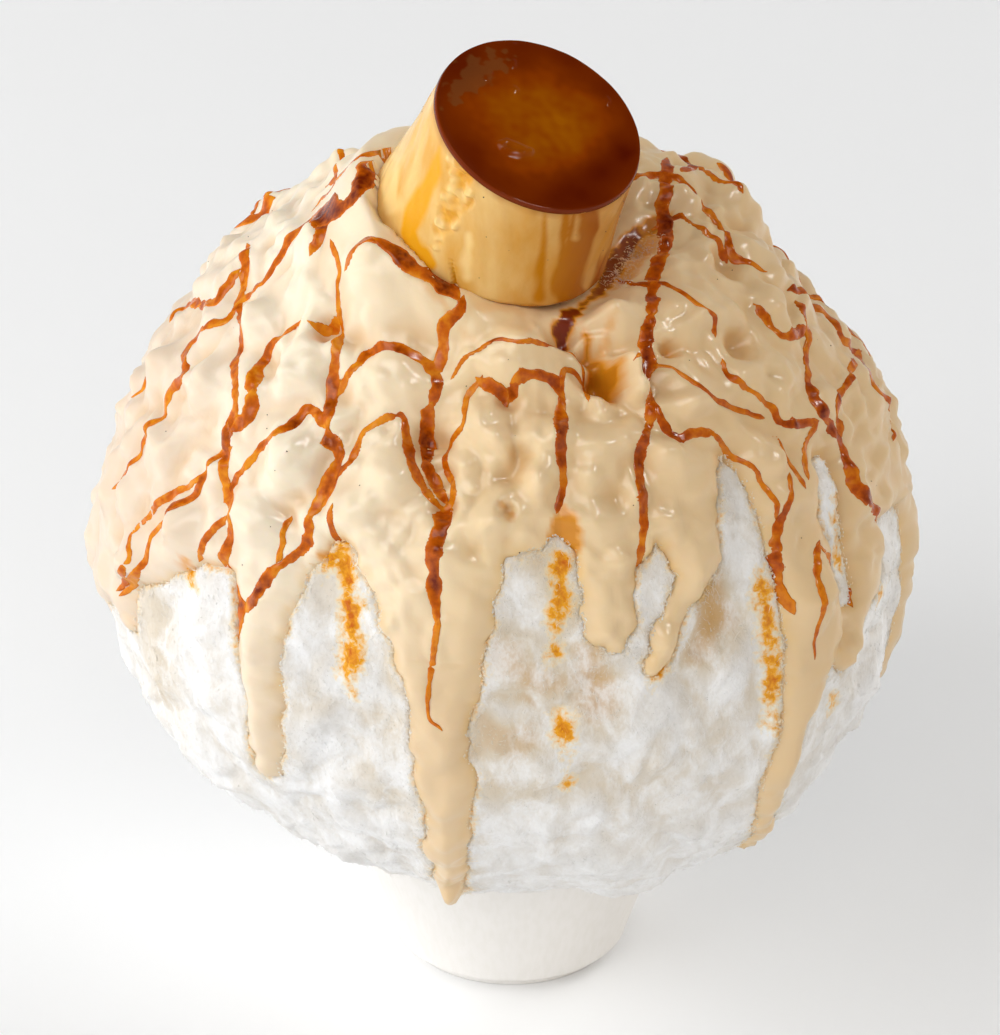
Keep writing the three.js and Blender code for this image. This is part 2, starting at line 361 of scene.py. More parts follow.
def ramp(material, value, stops):
    """Colour ramp with stops of place and colour."""
    made = step(material, "ShaderNodeValToRGB", {"Fac": value})
    while len(made.color_ramp.elements) < len(stops):
        made.color_ramp.elements.new(1)
    for element, (place, tint) in zip(made.color_ramp.elements, stops):
        element.position = place
        element.color = tint
    return made.outputs["Color"]


def blended(material, share, first, second):
    """Mix of two colours by a share from 0 to 1."""
    made = step(material, "ShaderNodeMix", {}, data_type="RGBA")
    feed(material, made, {0: share, 6: first, 7: second})
    return made.outputs[2]


def painted(material, name):
    """The number that was stored on the piece under this name."""
    return step(material, "ShaderNodeAttribute", {}, attribute_name=name).outputs["Fac"]


def product(material, first, second):
    """Two numbers multiplied, kept from 0 to 1."""
    made = step(material, "ShaderNodeMath", {0: first, 1: second}, operation="MULTIPLY", use_clamp=True)
    return made.outputs[0]


def total(material, first, second):
    """Two numbers added."""
    return step(material, "ShaderNodeMath", {0: first, 1: second}, operation="ADD").outputs[0]


def spread(material, value, start, end, low=0.0, high=1.0):
    """A number carried from one range to another, and kept inside it."""
    made = step(material, "ShaderNodeMapRange", {
        "Value": value, "From Min": start, "From Max": end, "To Min": low, "To Max": high})
    return made.outputs["Result"]


def along_axis(material, axis, start, end, low=0.0, high=1.0):
    """A number that goes from low to high between two places on an axis, in millimetres."""
    place = step(material, "ShaderNodeTexCoord", {}).outputs["Object"]
    split = step(material, "ShaderNodeSeparateXYZ", {"Vector": place})
    return spread(material, split.outputs[axis], start * MM, end * MM, low, high)


def bumped(material, pattern, height, strength=1.0):
    """Surface direction tilted by a pattern whose full range stands this high."""
    made = step(material, "ShaderNodeBump", {
        "Height": pattern, "Distance": height * MM, "Strength": strength})
    return made.outputs["Normal"]


# Custard cream's edge: polar angle every 15 degrees of azimuth, starting at the front.
cream_edges = (64, 66, 66, 67, 73, 78, 82, 84, 86, 83, 80, 78, 78, 81, 84, 87, 88, 90, 91, 92, 82, 74, 69, 66)
# Drips on the front, by picture points and half widths in millimetres.
front_drips = (
    (((112, 545), 9), ((117, 592), 6), ((120, 616), 3)),
    (((262, 580), 9), ((251, 630), 5.8), ((250, 665), 5.2), ((257, 704), 4.9), ((262, 766), 3.8)),
    (((430, 560), 15), ((435, 615), 12), ((437, 665), 9), ((438, 714), 6.6), ((442, 761), 5.7),
     ((445, 829), 5.1), ((449, 880), 3.9), ((456, 908), 2.4)),
    (((606, 560), 8.5), ((611, 601), 6.2), ((613, 626), 4.8), ((617, 646), 2.4)),
    (((698, 540), 7.0), ((690, 590), 4.6), ((676, 622), 3.0), ((664, 650), 2.2), ((652, 672), 1.2)),
    (((824, 560), 16), ((823, 597), 12.5), ((818, 650), 8.4), ((808, 700), 5.4), ((799, 740), 4.2),
     ((787, 777), 3.9), ((772, 812), 3.6), ((755, 846), 3.2), ((750, 856), 2.6)),
    (((872, 560), 9), ((862, 610), 6), ((852, 660), 3)),
)
# Bare places inside the cream's edge on the front.
front_gaps = (
    (((658, 548), 0.8), ((655, 575), 2.2), ((652, 610), 3.0), ((645, 650), 3.2)),
    (((728, 462), 2.2), ((741, 500), 5.0), ((748, 545), 7.0), ((745, 590), 8.0)),
    (((826, 462), 2.2), ((836, 515), 4.0), ((848, 570), 4.5), ((853, 600), 2.0)),
    (((338, 560), 3.5), ((340, 575), 5.0)),
    (((560, 560), 4.0), ((562, 600), 5.0)),
)
rear_drips = 9
rear_start, rear_span, rear_polar = 88.0, 176.0, 72.0
rear_reach, rear_uneven = 27.0, 15.0
# How softly drips join the edge, how far the outline is set out, how deep it is counted, and
# height, size and seed of its raggedness and of its wander at the back.
edge_blend, edge_spare, edge_floor = 4.0, 0.7, -30.0
edge_ragged = ((1.6, 11, 21), (0.9, 4.5, 22), (0.35, 2.1, 23))
rear_wander = ((6.0, 26, 24),)


def band(marks):
    """Directions and half widths of a band given by picture points."""
    return on_heap([point for point, _ in marks], 3.0), [width for _, width in marks]


def rear_band(index):
    """A drip round the back, at an even step of azimuth with an uneven length."""
    azimuth = rear_start + rear_span * index / (rear_drips - 1)
    reach = rear_reach + rear_uneven * math.sin(2.4 * index + 1)
    polars = rear_polar + reach * np.array([0, 0.35, 0.7, 1])
    azimuths = azimuth + 2 * math.cos(3 * index) * np.array([0, 0.2, 0.6, 1])
    return heading(azimuths, polars), [10, 6.5, 4.5, 3.4]


drip_bands = [band(marks) for marks in front_drips] + [rear_band(k) for k in range(rear_drips)]
gap_bands = [band(marks) for marks in front_gaps]


def cream_depth(towards):
    """How deep directions lie inside the cream's outline, in millimetres. It is the deepest
    of the edge and the drips, blended where they meet, less the bare gaps, made ragged."""
    azimuth, polar = angles_of(towards)
    place = towards * typical_radius
    depth = np.radians(around_ring(cream_edges, azimuth) - polar) * typical_radius
    for drip in drip_bands:
        other = band_depth(towards, *drip)
        share = np.clip(0.5 + 0.5 * (other - depth) / edge_blend, 0, 1)
        depth = depth + (other - depth) * share + edge_blend * share * (1 - share)
    depth = np.maximum(np.minimum(depth, -deepest(towards, gap_bands)), edge_floor)
    behind = np.clip(np.abs(azimuth) / 40 - 2, 0, 1)
    return depth + uneven(place, edge_ragged) + behind * uneven(place, rear_wander) + edge_spare


# Sauce that soaked into the ice, by picture points and half widths in millimetres.
front_stains = (
    (((185, 566), 2.6), ((187, 580), 2.0)),
    (((342, 548), 3.0), ((345, 600), 2.4), ((347, 630), 2.2), ((343, 672), 2.8), ((346, 694), 1.0)),
    (((328, 556), 1.8), ((318, 572), 0.9)),
    (((562, 560), 3.0), ((560, 600), 2.2), ((557, 640), 1.3), ((556, 655), 1.8)),
    (((563, 733), 2.4), ((573, 740), 2.2)),
    (((566, 750), 1.0), ((572, 800), 0.5)),
    (((766, 575), 2.2), ((772, 610), 2.8), ((777, 650), 2.2), ((781, 700), 1.8), ((784, 745), 1.0)),
    (((664, 672), 2.4), ((655, 682), 1.8)),
    (((838, 470), 1.8), ((842, 520), 1.2), ((850, 570), 1.2)),
    (((887, 462), 1.6), ((889, 470), 1.0)),
    (((888, 596), 1.6), ((889, 604), 1.0)),
    (((849, 706), 1.6), ((850, 714), 1.0)),
)
crater_stain = (((614, 280), 2.4), ((632, 260), 3.6), ((648, 242), 3.2))
# Warm hollows where light comes through cream behind the ice: how warm, then likewise.
front_hollows = (
    (1.0, ((708, 590), 7), ((722, 620), 8), ((705, 655), 5)),
    (0.9, ((490, 650), 5), ((530, 680), 7), ((560, 690), 5)),
    (0.6, ((142, 610), 8), ((154, 710), 9)), (0.9, ((690, 560), 4), ((715, 570), 4)),
    (0.35, ((205, 640), 2), ((215, 700), 3)), (0.5, ((318, 585), 4), ((330, 610), 5)),
    (0.8, ((540, 560), 5), ((590, 640), 4)), (1.0, ((590, 665), 6), ((600, 710), 7)),
    (0.5, ((370, 780), 5), ((384, 740), 5)),
)
stain_bands = [band(marks) for marks in front_stains]
hollow_bands = [(warm, band(marks)) for warm, *marks in front_hollows]
crater_band = band(crater_stain)
# How far stains, the soaked fringe, the warm fringe and the hollows fade out.
stain_fade, fringe_fade, warm_fade, hollow_fade = 7.0, 1.4, 2.6, 2.4
fringe_stain, fringe_warmth = 0.44, 0.6
# Azimuth and polar angle of the warmest part of the front, and its spreads.
warm_middle, warm_spread = (8, 88), (46, 20)


def ice_stain(towards):
    """Share of sauce in the ice: full inside the stained bands and fading over a few
    millimetres round them, and faint along parts of the cream's edge."""
    place = towards * typical_radius
    broken = uneven(place, ((2.0, 5.0, 31), (1.2, 2.2, 32))) - 0.6
    amber = np.clip(0.48 + (deepest(towards, stain_bands) + broken) / stain_fade, 0, 1)
    fringe = np.exp(-np.maximum(-cream_depth(towards), 0) / fringe_fade)
    fringe = fringe * np.clip(0.85 + 0.8 * noise(place, 7, 36), 0, 1)
    return np.maximum(amber, fringe_stain * fringe)


def crater_frost(towards):
    """Share of brown frost: full in the crater's band, and broken up at its edge."""
    place = towards * typical_radius
    return np.clip((band_depth(towards, *crater_band) + 1.2 * noise(place, 3.0, 31) + 3) / 3, 0, 1)


def ice_warmth(towards):
    """Share of warm light through the ice: a fringe along the cream's edge where it soaked
    in, soft patches and low places, stronger in the middle of the front, and the hollows."""
    place = towards * typical_radius
    fringe = np.exp(-np.maximum(-cream_depth(towards), 0) / warm_fade)
    fringe *= np.clip(0.5 + uneven(place, ((0.9, 4.5, 33), (0.5, 1.8, 34))), 0, 1)
    away = (np.stack(angles_of(towards), -1) - warm_middle) / warm_spread
    middle = np.exp(-np.sum(away**2, axis=-1))
    patches = np.clip(0.15 + uneven(place, ((1, 18, 37), (0.5, 7, 38))), 0, 1)
    low = np.clip(-0.2 - 0.7 * frost_relief(towards), 0, 1)
    warmth = np.maximum(fringe_warmth * fringe, (0.2 + 0.6 * middle) * np.maximum(patches, low))
    for warm, hollow in hollow_bands:
        depth = band_depth(towards, *hollow) + 2 * noise(place, 6, 35)
        warmth = np.maximum(warmth, warm / (1 + np.exp(-depth / hollow_fade)))
    return warmth


# The ice stands up a little along the cream's edge and is pressed down under the cream.
edge_lip, edge_lip_width, edge_calm = 1.3, 3.0, 0.6
pressed_down, pressed_within = 6.0, 4.0


def ice_rise(towards):
    """Height of the ice over its smooth outline: the frost's relief, evened out where it
    meets the cream's edge and pressed down under the cream."""
    depth = cream_depth(towards)
    near = np.exp(-0.5 * (depth / edge_lip_width) ** 2)
    under = np.clip(depth / pressed_within, 0, 1)
    open_rise = frost_relief(towards) * (1 - edge_calm * near) + edge_lip * near
    return open_rise * (1 - under) - pressed_down * under


def fine_polars(rows, start, end, share):
    """Polar angles from pole to pole, with this share of the rows between start and end."""
    inner = int(rows * share)
    upper = int((rows - inner) * start / (start + 180 - end))
    above = np.linspace(0.6, start, upper, endpoint=False)
    below = np.linspace(end, 179.4, rows - inner - upper)
    return np.concatenate([above, np.linspace(start, end, inner, endpoint=False), below])


def front_weighted(columns, pull):
    """Azimuths all the way round, closer together towards the front: u - pull sin u."""
    even = np.linspace(-math.pi, math.pi, columns, endpoint=False)
    return np.degrees(even - pull * np.sin(even))


ice_polars = fine_polars(ice_rows, ice_fine_from, ice_fine_to, ice_fine_share)
ice_towards = heading(front_weighted(ice_columns, ice_front_pull)[None], ice_polars[:, None])
ice_reach = heap_radius(ice_towards) + ice_rise(ice_towards)
ice_points, ice_faces = skin(heap_middle + ice_towards * ice_reach[..., None])
ice_heap = add_piece("ice_heap", ice_points, ice_faces)
frost_paints = (("stain", ice_stain), ("warmth", ice_warmth), ("crater", crater_frost))
for paint_name, share_of in frost_paints:
    paint(ice_heap, paint_name, over_skin(share_of(ice_towards)))

ice_white = colour(249, 249, 249)
ice_shade = colour(230, 228, 225)
ice_warm = colour(214, 193, 156)
ice_warmest = colour(203, 158, 94)
crater_brown = colour(206, 142, 92)
stain_thin = colour(250, 226, 168)
stain_full = colour(240, 170, 34)
stain_thick = colour(206, 104, 8)


def finish_ice(material, shader):
    """Frost colours: white wisps over ice that is warm where light comes through it, brown
    in the crater, and lacy amber where sauce soaked in. Gives the wisps back."""
    clumps = spread(material, grain(material, 7.0, 7, (1, 1, 0.7), 0.6), 0.40, 0.62)
    fibres = spread(material, grain(material, 0.7, 4, (1, 1, 0.6), 0.3), 0.35, 0.65)
    wisps = blended(material, 0.26, clumps, fibres)
    clean = ramp(material, wisps, ((0.0, ice_shade), (1.0, ice_white)))
    warmth = painted(material, "warmth")
    warm = ramp(material, warmth, ((0.6, ice_warm), (1.0, ice_warmest)))
    under_wisps = product(material, warmth, spread(material, wisps, 0.2, 0.9, 1.0, 0.35))
    soaked = blended(material, under_wisps, clean, warm)
    crater = product(material, painted(material, "crater"), spread(material, wisps, 0, 1, 1.0, 0.8))
    frosted = blended(material, crater, soaked, crater_brown)
    threads = spread(material, grain(material, 1.2, 5, twist=0.4), 0.3, 0.7, -0.16, 0.16)
    lace = total(material, painted(material, "stain"), threads)
    amber = ramp(material, lace, ((0.3, stain_thin), (0.62, stain_full), (0.92, stain_thick)))
    finished = blended(material, spread(material, lace, 0.2, 0.62), frosted, amber)
    feed(material, shader, {"Base Color": finished, "Roughness": 0.85, "Specular IOR Level": 0.15})
    return wisps


frost, frost_shader = new_finish("frost")
wisp_pattern = finish_ice(frost, frost_shader)
feed(frost, frost_shader, {
    "Subsurface Weight": 0.4, "Subsurface Radius": (1.0, 0.95, 0.9), "Subsurface Scale": 1.5 * MM,
    "Sheen Weight": 0.2, "Sheen Roughness": 0.6,
    "Normal": bumped(frost, wisp_pattern, 0.2)})
ice_heap.data.materials.append(frost)
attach(ice_heap, "root")
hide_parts("ice_mound")


# ---------------------------------------------------------------------------------------
# Cup: small off-white cup, slip cast with a matte surface that keeps fine upright lines.
# It has a flat foot, a rounded corner, a flaring wall and a rounded rim under the ice.
cup_height, cup_wall, cup_floor = 45.0, 2.6, 5.5
foot_radius, foot_height = 24.3, 2.2
body_radius_at_table, wall_flare, corner_radius = 26.0, 1 / 3, 1.6
cup_columns = 240
cup_white = colour(244, 241, 237)
cup_shade = colour(241, 238, 233)


def wall_radius(height):
    """Radius of the outer wall: a straight flare from the table up."""
    return body_radius_at_table + wall_flare * height


def arc(radius, height, size, start, end, steps):
    """Points of a circular arc in a profile, between two angles in degrees."""
    angle = np.radians(np.linspace(start, end, steps))
    return np.stack([radius + size * np.cos(angle), height + size * np.sin(angle)], -1)


def straight(start, end, steps):
    """Evenly spaced profile points from start up to, but not at, the end."""
    return np.linspace(start, end, steps, endpoint=False)


def turned(profile, columns):
    """Rings of a shape turned about the vertical axis from a profile of radius and height
    that runs from the top of the inside, over the rim, down to the underside."""
    angle = np.linspace(0, 2 * math.pi, columns, endpoint=False)
    radius, height = profile[:, :1], profile[:, 1:]
    return np.stack([radius * np.sin(angle), -radius * np.cos(angle), height + 0 * angle], -1)


corner_height = foot_height + corner_radius
rim_radius = cup_wall / 2
rim_height = cup_height - rim_radius
inner_corner = (wall_radius(cup_floor + corner_radius) - cup_wall, cup_floor + corner_radius)
inner_rim = (wall_radius(rim_height) - cup_wall, rim_height)
cup_profile = np.concatenate([
    straight((0.5, cup_floor), (inner_corner[0] - corner_radius, cup_floor), 6),
    arc(inner_corner[0] - corner_radius, inner_corner[1], corner_radius, -90, 0, 8),
    straight(inner_corner, inner_rim, 20),
    arc(wall_radius(rim_height) - rim_radius, rim_height, rim_radius, 180, 0, 14),
    straight((wall_radius(rim_height), rim_height), (wall_radius(corner_height), corner_height), 60),
    arc(wall_radius(corner_height) - corner_radius, corner_height, corner_radius, 0, -80, 10),
    straight((foot_radius + 0.4, foot_height), (foot_radius, foot_height - 0.4), 3),
    straight((foot_radius, foot_height - 0.4), (foot_radius, 0.5), 5),
    arc(foot_radius - 0.5, 0.5, 0.5, 0, -90, 6),
    straight((foot_radius - 1, 0), (0.5, 0), 8),
])
cup_points, cup_faces = skin(turned(cup_profile, cup_columns))
cup_finish = add_piece("cup_finish", cup_points, cup_faces)
cast, cast_shader = new_finish("matte_cast_white")
speckle = grain(cast, 1.4, 4, (1, 1, 0.12))
feed(cast, cast_shader, {
    "Base Color": ramp(cast, speckle, ((0.35, cup_shade), (0.6, cup_white))),
    "Roughness": 0.72, "Specular IOR Level": 0.35,
    "Normal": bumped(cast, speckle, 0.02)})
cup_finish.data.materials.append(cast)
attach(cup_finish, "root")
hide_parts("cup")


# ---------------------------------------------------------------------------------------
# Pudding: custard baked in a small metal mould over caramel, turned out and set leaning on
# the heap. It is soft, so its top and base aren't parallel; caramel ran down its side.
pudding_top = {"centre": (5.7, -33.0, 220.0), "facing": (0.335, -0.412, 0.847), "radius": 23.1}
pudding_base = {"centre": (-4.6, -19.8, 191.3), "facing": (0.312, -0.236, 0.92), "radius": 26.8}
pudding_height, pudding_sunk, pudding_edge = 32.2, 1.5, 2.6
pudding_waist = 0.5
caramel_depth, caramel_edge = 0.8, 0.4
pudding_columns, pudding_rows = 300, 150
# Height, size and seed of the side's fine upright lines, of its unevenness and of the torn
# curls, how deep the crack is, and how far below the top the caramel stained the side.
side_lines, side_uneven = ((0.16, 2.5, 43),), ((0.10, 5, 44),)
curl_relief, curl_level = ((1.0, 3.0, 45), (0.7, 1.4, 46)), -0.2
upright_draw, crack_depth, rim_stain_depth = (1, 1, 0.12), 1.2, 2.2
# Runs of caramel down the side, as picture points with half widths, also in picture points.
side_runs = (
    (((440, 148), 3), ((434, 172), 8), ((425, 192), 11), ((415, 212), 11), ((409, 232), 10),
     ((418, 250), 8), ((432, 264), 6)),
    (((456, 268), 1.5), ((453, 285), 3)),
    (((566, 208), 4), ((563, 250), 7), ((562, 292), 10)),
    (((545, 212), 3), ((543, 250), 5), ((540, 296), 8)),
    (((588, 205), 11), ((583, 240), 19), ((574, 285), 26)),
    (((630, 180), 5), ((626, 215), 7), ((616, 250), 8), ((600, 278), 12)),
    (((470, 306), 5), ((505, 312), 6), ((550, 308), 5), ((580, 294), 6), ((604, 272), 5)),
)
# Pale streaks between the runs, the torn patch with its curls, milky patches and the crack.
pale_streaks = (
    (((578, 203), 3.5), ((575, 238), 3.0)), (((532, 214), 4), ((526, 250), 5), ((520, 290), 4)),
    (((613, 200), 4), ((604, 230), 5), ((594, 258), 5), ((585, 285), 3)),
    (((632, 178), 2), ((628, 205), 2.5), ((618, 240), 2)),
)
torn_patch = (((450, 160), 7), ((461, 178), 13), ((456, 200), 17), ((444, 226), 12), ((436, 244), 5))
milky_patches = ((((390, 160), 10), ((392, 205), 12)), (((468, 236), 6), ((467, 276), 9)))
side_crack = (((451, 258), 0.6), ((452, 270), 1.8), ((455, 288), 3.0))


def on_end(end, x, y):
    """Places of points of an end's own plane: the upright plane turned to the end's facing."""
    facing = Vector(end["facing"]).normalized()
    tilt = np.array(Vector((0, 0, 1)).rotation_difference(facing).to_matrix())
    return np.stack([x, y, 0 * x], -1) @ tilt.T + np.array(end["centre"])


def leant(radius, angle, height):
    """Places in the pudding: the same point of the base plane and of the top plane, mixed by
    the share of the height."""
    x, y = radius * np.sin(angle), -radius * np.cos(angle)
    share = (height / pudding_height)[..., None]
    return on_end(pudding_base, x, y) * (1 - share) + on_end(pudding_top, x, y) * share


def pudding_radius(height):
    """Radius at a height: a straight cone, drawn in a little at its waist."""
    share = height / pudding_height
    straight_side = pudding_base["radius"] + (pudding_top["radius"] - pudding_base["radius"]) * share
    return straight_side - pudding_waist * np.sin(np.pi * np.clip(share, 0, 1))


def picture_depth(points, *bands):
    """How deep places lie inside the deepest of several bands of the picture, in picture
    points, for places on the side that faces the camera."""
    paths = [(np.array([point for point, _ in marks], float), [width for _, width in marks])
             for marks in bands]
    return deepest(picture_points(points), paths, 1.0)


pudding_angle = np.linspace(0, 2 * math.pi, pudding_columns, endpoint=False)
edge_height = pudding_edge - pudding_sunk
body_top = pudding_height - caramel_depth
edge_profile = arc(float(pudding_radius(edge_height)) - pudding_edge, edge_height, pudding_edge, 0, -90, 12)
side_heights = np.linspace(body_top, edge_height, pudding_rows, endpoint=False)
body_radius = np.concatenate([[1, 12, 20], pudding_radius(side_heights), edge_profile[:, 0], [15, 1]])
body_height = np.concatenate([[body_top] * 3, side_heights, edge_profile[:, 1], [-pudding_sunk] * 2])
plain_body = leant(body_radius[:, None] + 0 * pudding_angle, pudding_angle + 0 * body_radius[:, None],
                   body_height[:, None] + 0 * pudding_angle)
body_axis = leant(0 * body_radius[:, None], 0 * body_radius[:, None], body_height[:, None])
outward = unit(plain_body - body_axis)
facing_camera = np.clip(np.sum(outward * to_camera, -1) * 4 + 0.4, 0, 1)
on_side = ((body_height > 0) & (body_height < body_top))[:, None] * facing_camera


def side_patch(depth, fade, most=1.0):
    """Share of a patch on the side that faces the camera, which fades in over this depth."""
    return np.clip(depth / fade, 0, most) * on_side


# Runs of caramel are cut by pale streaks and drawn downwards. Yellow shows between the curls.
runs = np.minimum(picture_depth(plain_body, *side_runs), 1 - 1.2 * picture_depth(plain_body, *pale_streaks))
run_share = side_patch(runs + 3.5 * noise(plain_body * (1, 1, 0.4), 3.5, 41) + 1, 5)
torn = side_patch(picture_depth(plain_body, torn_patch) + 6 * noise(plain_body, 3, 42), 4)
milky = side_patch(picture_depth(plain_body, *milky_patches) + 4 * noise(plain_body, 4, 48), 6, 0.9)
crack = side_patch(picture_depth(plain_body, side_crack), 1.5)
curls = torn * np.clip(0.6 + 1.3 * noise(plain_body, 3.0, 45), 0, 1)
under_curls = np.maximum(run_share * (1 - torn), 0.6 * torn * (1 - curls))
side_relief = uneven(plain_body * upright_draw, side_lines) + uneven(plain_body, side_uneven)
side_relief = side_relief + torn * (uneven(plain_body, curl_relief) + curl_level) - crack_depth * crack
side_relief *= ((body_height > -pudding_sunk) & (body_radius > 21))[:, None]
pudding_points, pudding_faces = skin(plain_body + outward * side_relief[..., None])
pudding_body = add_piece("pudding_body", pudding_points, pudding_faces)
paint(pudding_body, "run", over_skin(np.maximum(under_curls, crack)))
paint(pudding_body, "torn", over_skin(np.maximum(curls, milky)))
under_rim = np.clip(1 - (body_top - body_height) / rim_stain_depth, 0, 1)[:, None]
paint(pudding_body, "rim", over_skin(under_rim * (0.5 + 0.5 * noise(plain_body, 4, 47))))

custard_pale = colour(243, 207, 136)
custard_deep = colour(226, 170, 80)
custard_shade = colour(192, 128, 46)
run_amber = colour(238, 166, 1)
run_brown_and_shade = colour(152, 70, 1)
torn_cream = colour(250, 216, 146)
baked, baked_shader = new_finish("baked_custard")
mottle = grain(baked, 9, 4, (1, 1, 0.35))
plain_custard = ramp(baked, mottle, ((0.35, custard_deep), (0.62, custard_pale)))
# Painted shade: the custard and its caramel runs are painted darker towards the right.
to_shade = along_axis(baked, "X", -14, 20)
run_colour = blended(baked, to_shade, run_amber, run_brown_and_shade)
shaded_custard = blended(baked, product(baked, to_shade, 0.8), plain_custard, custard_shade)
lighter = blended(baked, product(baked, painted(baked, "torn"), 0.8), shaded_custard, torn_cream)
run_mix = product(baked, painted(baked, "run"), 0.95)
rim_mix = product(baked, painted(baked, "rim"), 0.7)
feed(baked, baked_shader, {
    "Base Color": blended(baked, rim_mix, blended(baked, run_mix, lighter, run_colour), run_brown_and_shade),
    "Roughness": 0.24, "Specular IOR Level": 0.2, "Subsurface Weight": 0.2,
    "Subsurface Radius": (1.0, 0.55, 0.2), "Subsurface Scale": 2.2 * MM,
    "Normal": bumped(baked, grain(baked, 0.9, 3), 0.05)})
pudding_body.data.materials.append(baked)
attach(pudding_body, "root")
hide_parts("pudding")


# ---------------------------------------------------------------------------------------
# Caramel top: the layer of clear dark caramel that baked under the custard in the mould.
# It is wet and very glossy, darker where it is thick, and amber where custard shows through.
top_rings, caramel_skirt, skirt_spare = 90, 0.1, 0.12
# Height, size and seed of its ripples, and how high and from where it climbs to the rim.
top_ripples = ((0.10, 9, 51), (0.05, 3.5, 52), (0.02, 1.4, 53))
meniscus_height, meniscus_from, meniscus_width = 0.25, 19.5, 3.0
# Wrinkles, as picture points with half widths in picture points, and their height.
top_wrinkles = (
    ((((500, 144), 1), ((506, 142), 1), ((516, 146), 1), ((530, 152), 1)), 0.5),
    ((((502, 148), 1), ((510, 152), 1), ((520, 154), 1), ((530, 153), 1)), 0.5),
    ((((513, 62), 1), ((513, 66), 1)), 0.25), ((((513, 88), 1), ((516, 90), 1)), 0.2),
    ((((606, 99), 1), ((608, 102), 1)), 0.25), ((((486, 78), 1), ((490, 74), 1)), 0.2),
)
# Where custard shows through or the caramel is thick, as picture points and reach, and the
# patch with a painted reflection: a grey-brown sheen painted into the colour.
caramel_glow = (((541, 138), 15), ((520, 105), 14), ((560, 140), 15), ((553, 112), 14), ((584, 112), 16))
caramel_thick = (((568, 184), 15), ((598, 172), 14), ((625, 150), 10))
glow_middle, glow_spot, glow_reach = 0.34, 0.16, 13.0
painted_sheen_patch = (((452, 96), 10), ((468, 78), 16), ((486, 66), 13), ((503, 60), 6))
shoulder = pudding_height - caramel_edge
rim_profile = arc(float(pudding_radius(shoulder)) - caramel_edge, shoulder, caramel_edge, 90, 0, 8)
flat_radii = np.linspace(0.4, rim_profile[0, 0], top_rings, endpoint=False)
side_wall = np.array([[float(pudding_radius(body_top)) + skirt_spare, body_top - caramel_skirt]])
underside = np.array([[18.0, body_top - 0.6], [1.0, body_top - 0.6]])
top_profile = np.concatenate([np.stack([flat_radii, 0 * flat_radii + pudding_height], -1),
                              rim_profile, side_wall, underside])
top_radius = top_profile[:, :1] + 0 * pudding_angle
top_height = top_profile[:, 1:] + 0 * pudding_angle
flat_top = leant(top_radius, pudding_angle + 0 * top_radius, top_height)
wrinkles = sum(height * np.exp(-np.minimum(picture_depth(flat_top, marks), 0) ** 2 / 4)
               for marks, height in top_wrinkles)
meniscus = meniscus_height * np.clip((top_radius - meniscus_from) / meniscus_width, 0, 1) ** 2
on_top = (np.arange(len(top_profile)) < len(flat_radii) + 4)[:, None]
wet_height = top_height + (uneven(flat_top, top_ripples) + wrinkles + meniscus) * on_top
caramel_points, caramel_faces = skin(leant(top_radius, pudding_angle + 0 * top_radius, wet_height))
caramel_top = add_piece("caramel_top", caramel_points, caramel_faces)
seen_top = picture_points(flat_top)


def top_spots(spots, width):
    """Sum of bell-shaped spots round picture points, stretched sideways by this much."""
    away = [np.linalg.norm((seen_top - point) / (width, 1), axis=-1) / reach for point, reach in spots]
    return sum(np.exp(-0.5 * gap**2) for gap in away)


wavering = top_radius * (1 + 0.12 * noise(flat_top, 9, 56)) / glow_reach
glow = glow_middle * np.exp(-0.5 * wavering**4)
glow = glow + glow_spot * (top_spots(caramel_glow, 1.25) - top_spots(caramel_thick, 1))
clouded_glow = glow * (1 + uneven(flat_top, ((0.45, 5, 54), (0.3, 2.2, 57)))) + 0.10 * noise(flat_top, 10, 55)
# Patch of the painted reflection, a sheen painted into the colour, broken up by noise.
painted_sheen_depth = picture_depth(flat_top, painted_sheen_patch) + uneven(flat_top, ((12, 3.2, 58), (10, 1.5, 59)))
paint(caramel_top, "glow", over_skin(0.2 + clouded_glow))
paint(caramel_top, "rim", over_skin(np.clip((top_radius - 22.4) / 0.6, 0, 1)))
paint(caramel_top, "painted_sheen", over_skin(np.clip(painted_sheen_depth / 5, 0, 1) * on_top))

top_red = colour(82, 14, 1)
top_dark = colour(106, 34, 1)
top_brown = colour(138, 56, 1)
top_amber = colour(164, 90, 2)
rim_amber = colour(126, 48, 1)
painted_sheen_colour = colour(118, 72, 34)
syrup, syrup_shader = new_finish("clear_dark_caramel")
depth_colour = ramp(syrup, painted(syrup, "glow"), (
    (0.05, top_red), (0.2, top_dark), (0.42, top_brown), (1.0, top_amber)))
# Painted reflection: a grey-brown sheen is painted over the caramel's colour on the upper left.
with_painted_sheen = blended(syrup, product(syrup, painted(syrup, "painted_sheen"), 0.55), depth_colour, painted_sheen_colour)
feed(syrup, syrup_shader, {
    "Base Color": blended(syrup, product(syrup, painted(syrup, "rim"), 0.4), with_painted_sheen, rim_amber),
    "Roughness": spread(syrup, painted(syrup, "rim"), 0, 1, 0.07, 0.16),
    "IOR": 1.4, "Specular IOR Level": 0.22,
    "Normal": bumped(syrup, grain(syrup, 2.5, 2), 0.03)})
caramel_top.data.materials.append(syrup)
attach(caramel_top, "root")
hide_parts("pudding_caramel")


# ---------------------------------------------------------------------------------------
# Custard cream: thick pouring cream ladled over the heap, which set in folds and lumps and
# ran down in rounded drips. It is a skin over the ice that dips into it past its edge.
coat_rows, coat_columns = 292, 340
coat_fine_from, coat_fine_to, coat_fine_share, coat_front_pull = 6.0, 132.0, 0.94, 0.5
cream_thickness, drip_thickness, thinnest_cream = 4.8, 4.4, 1.2
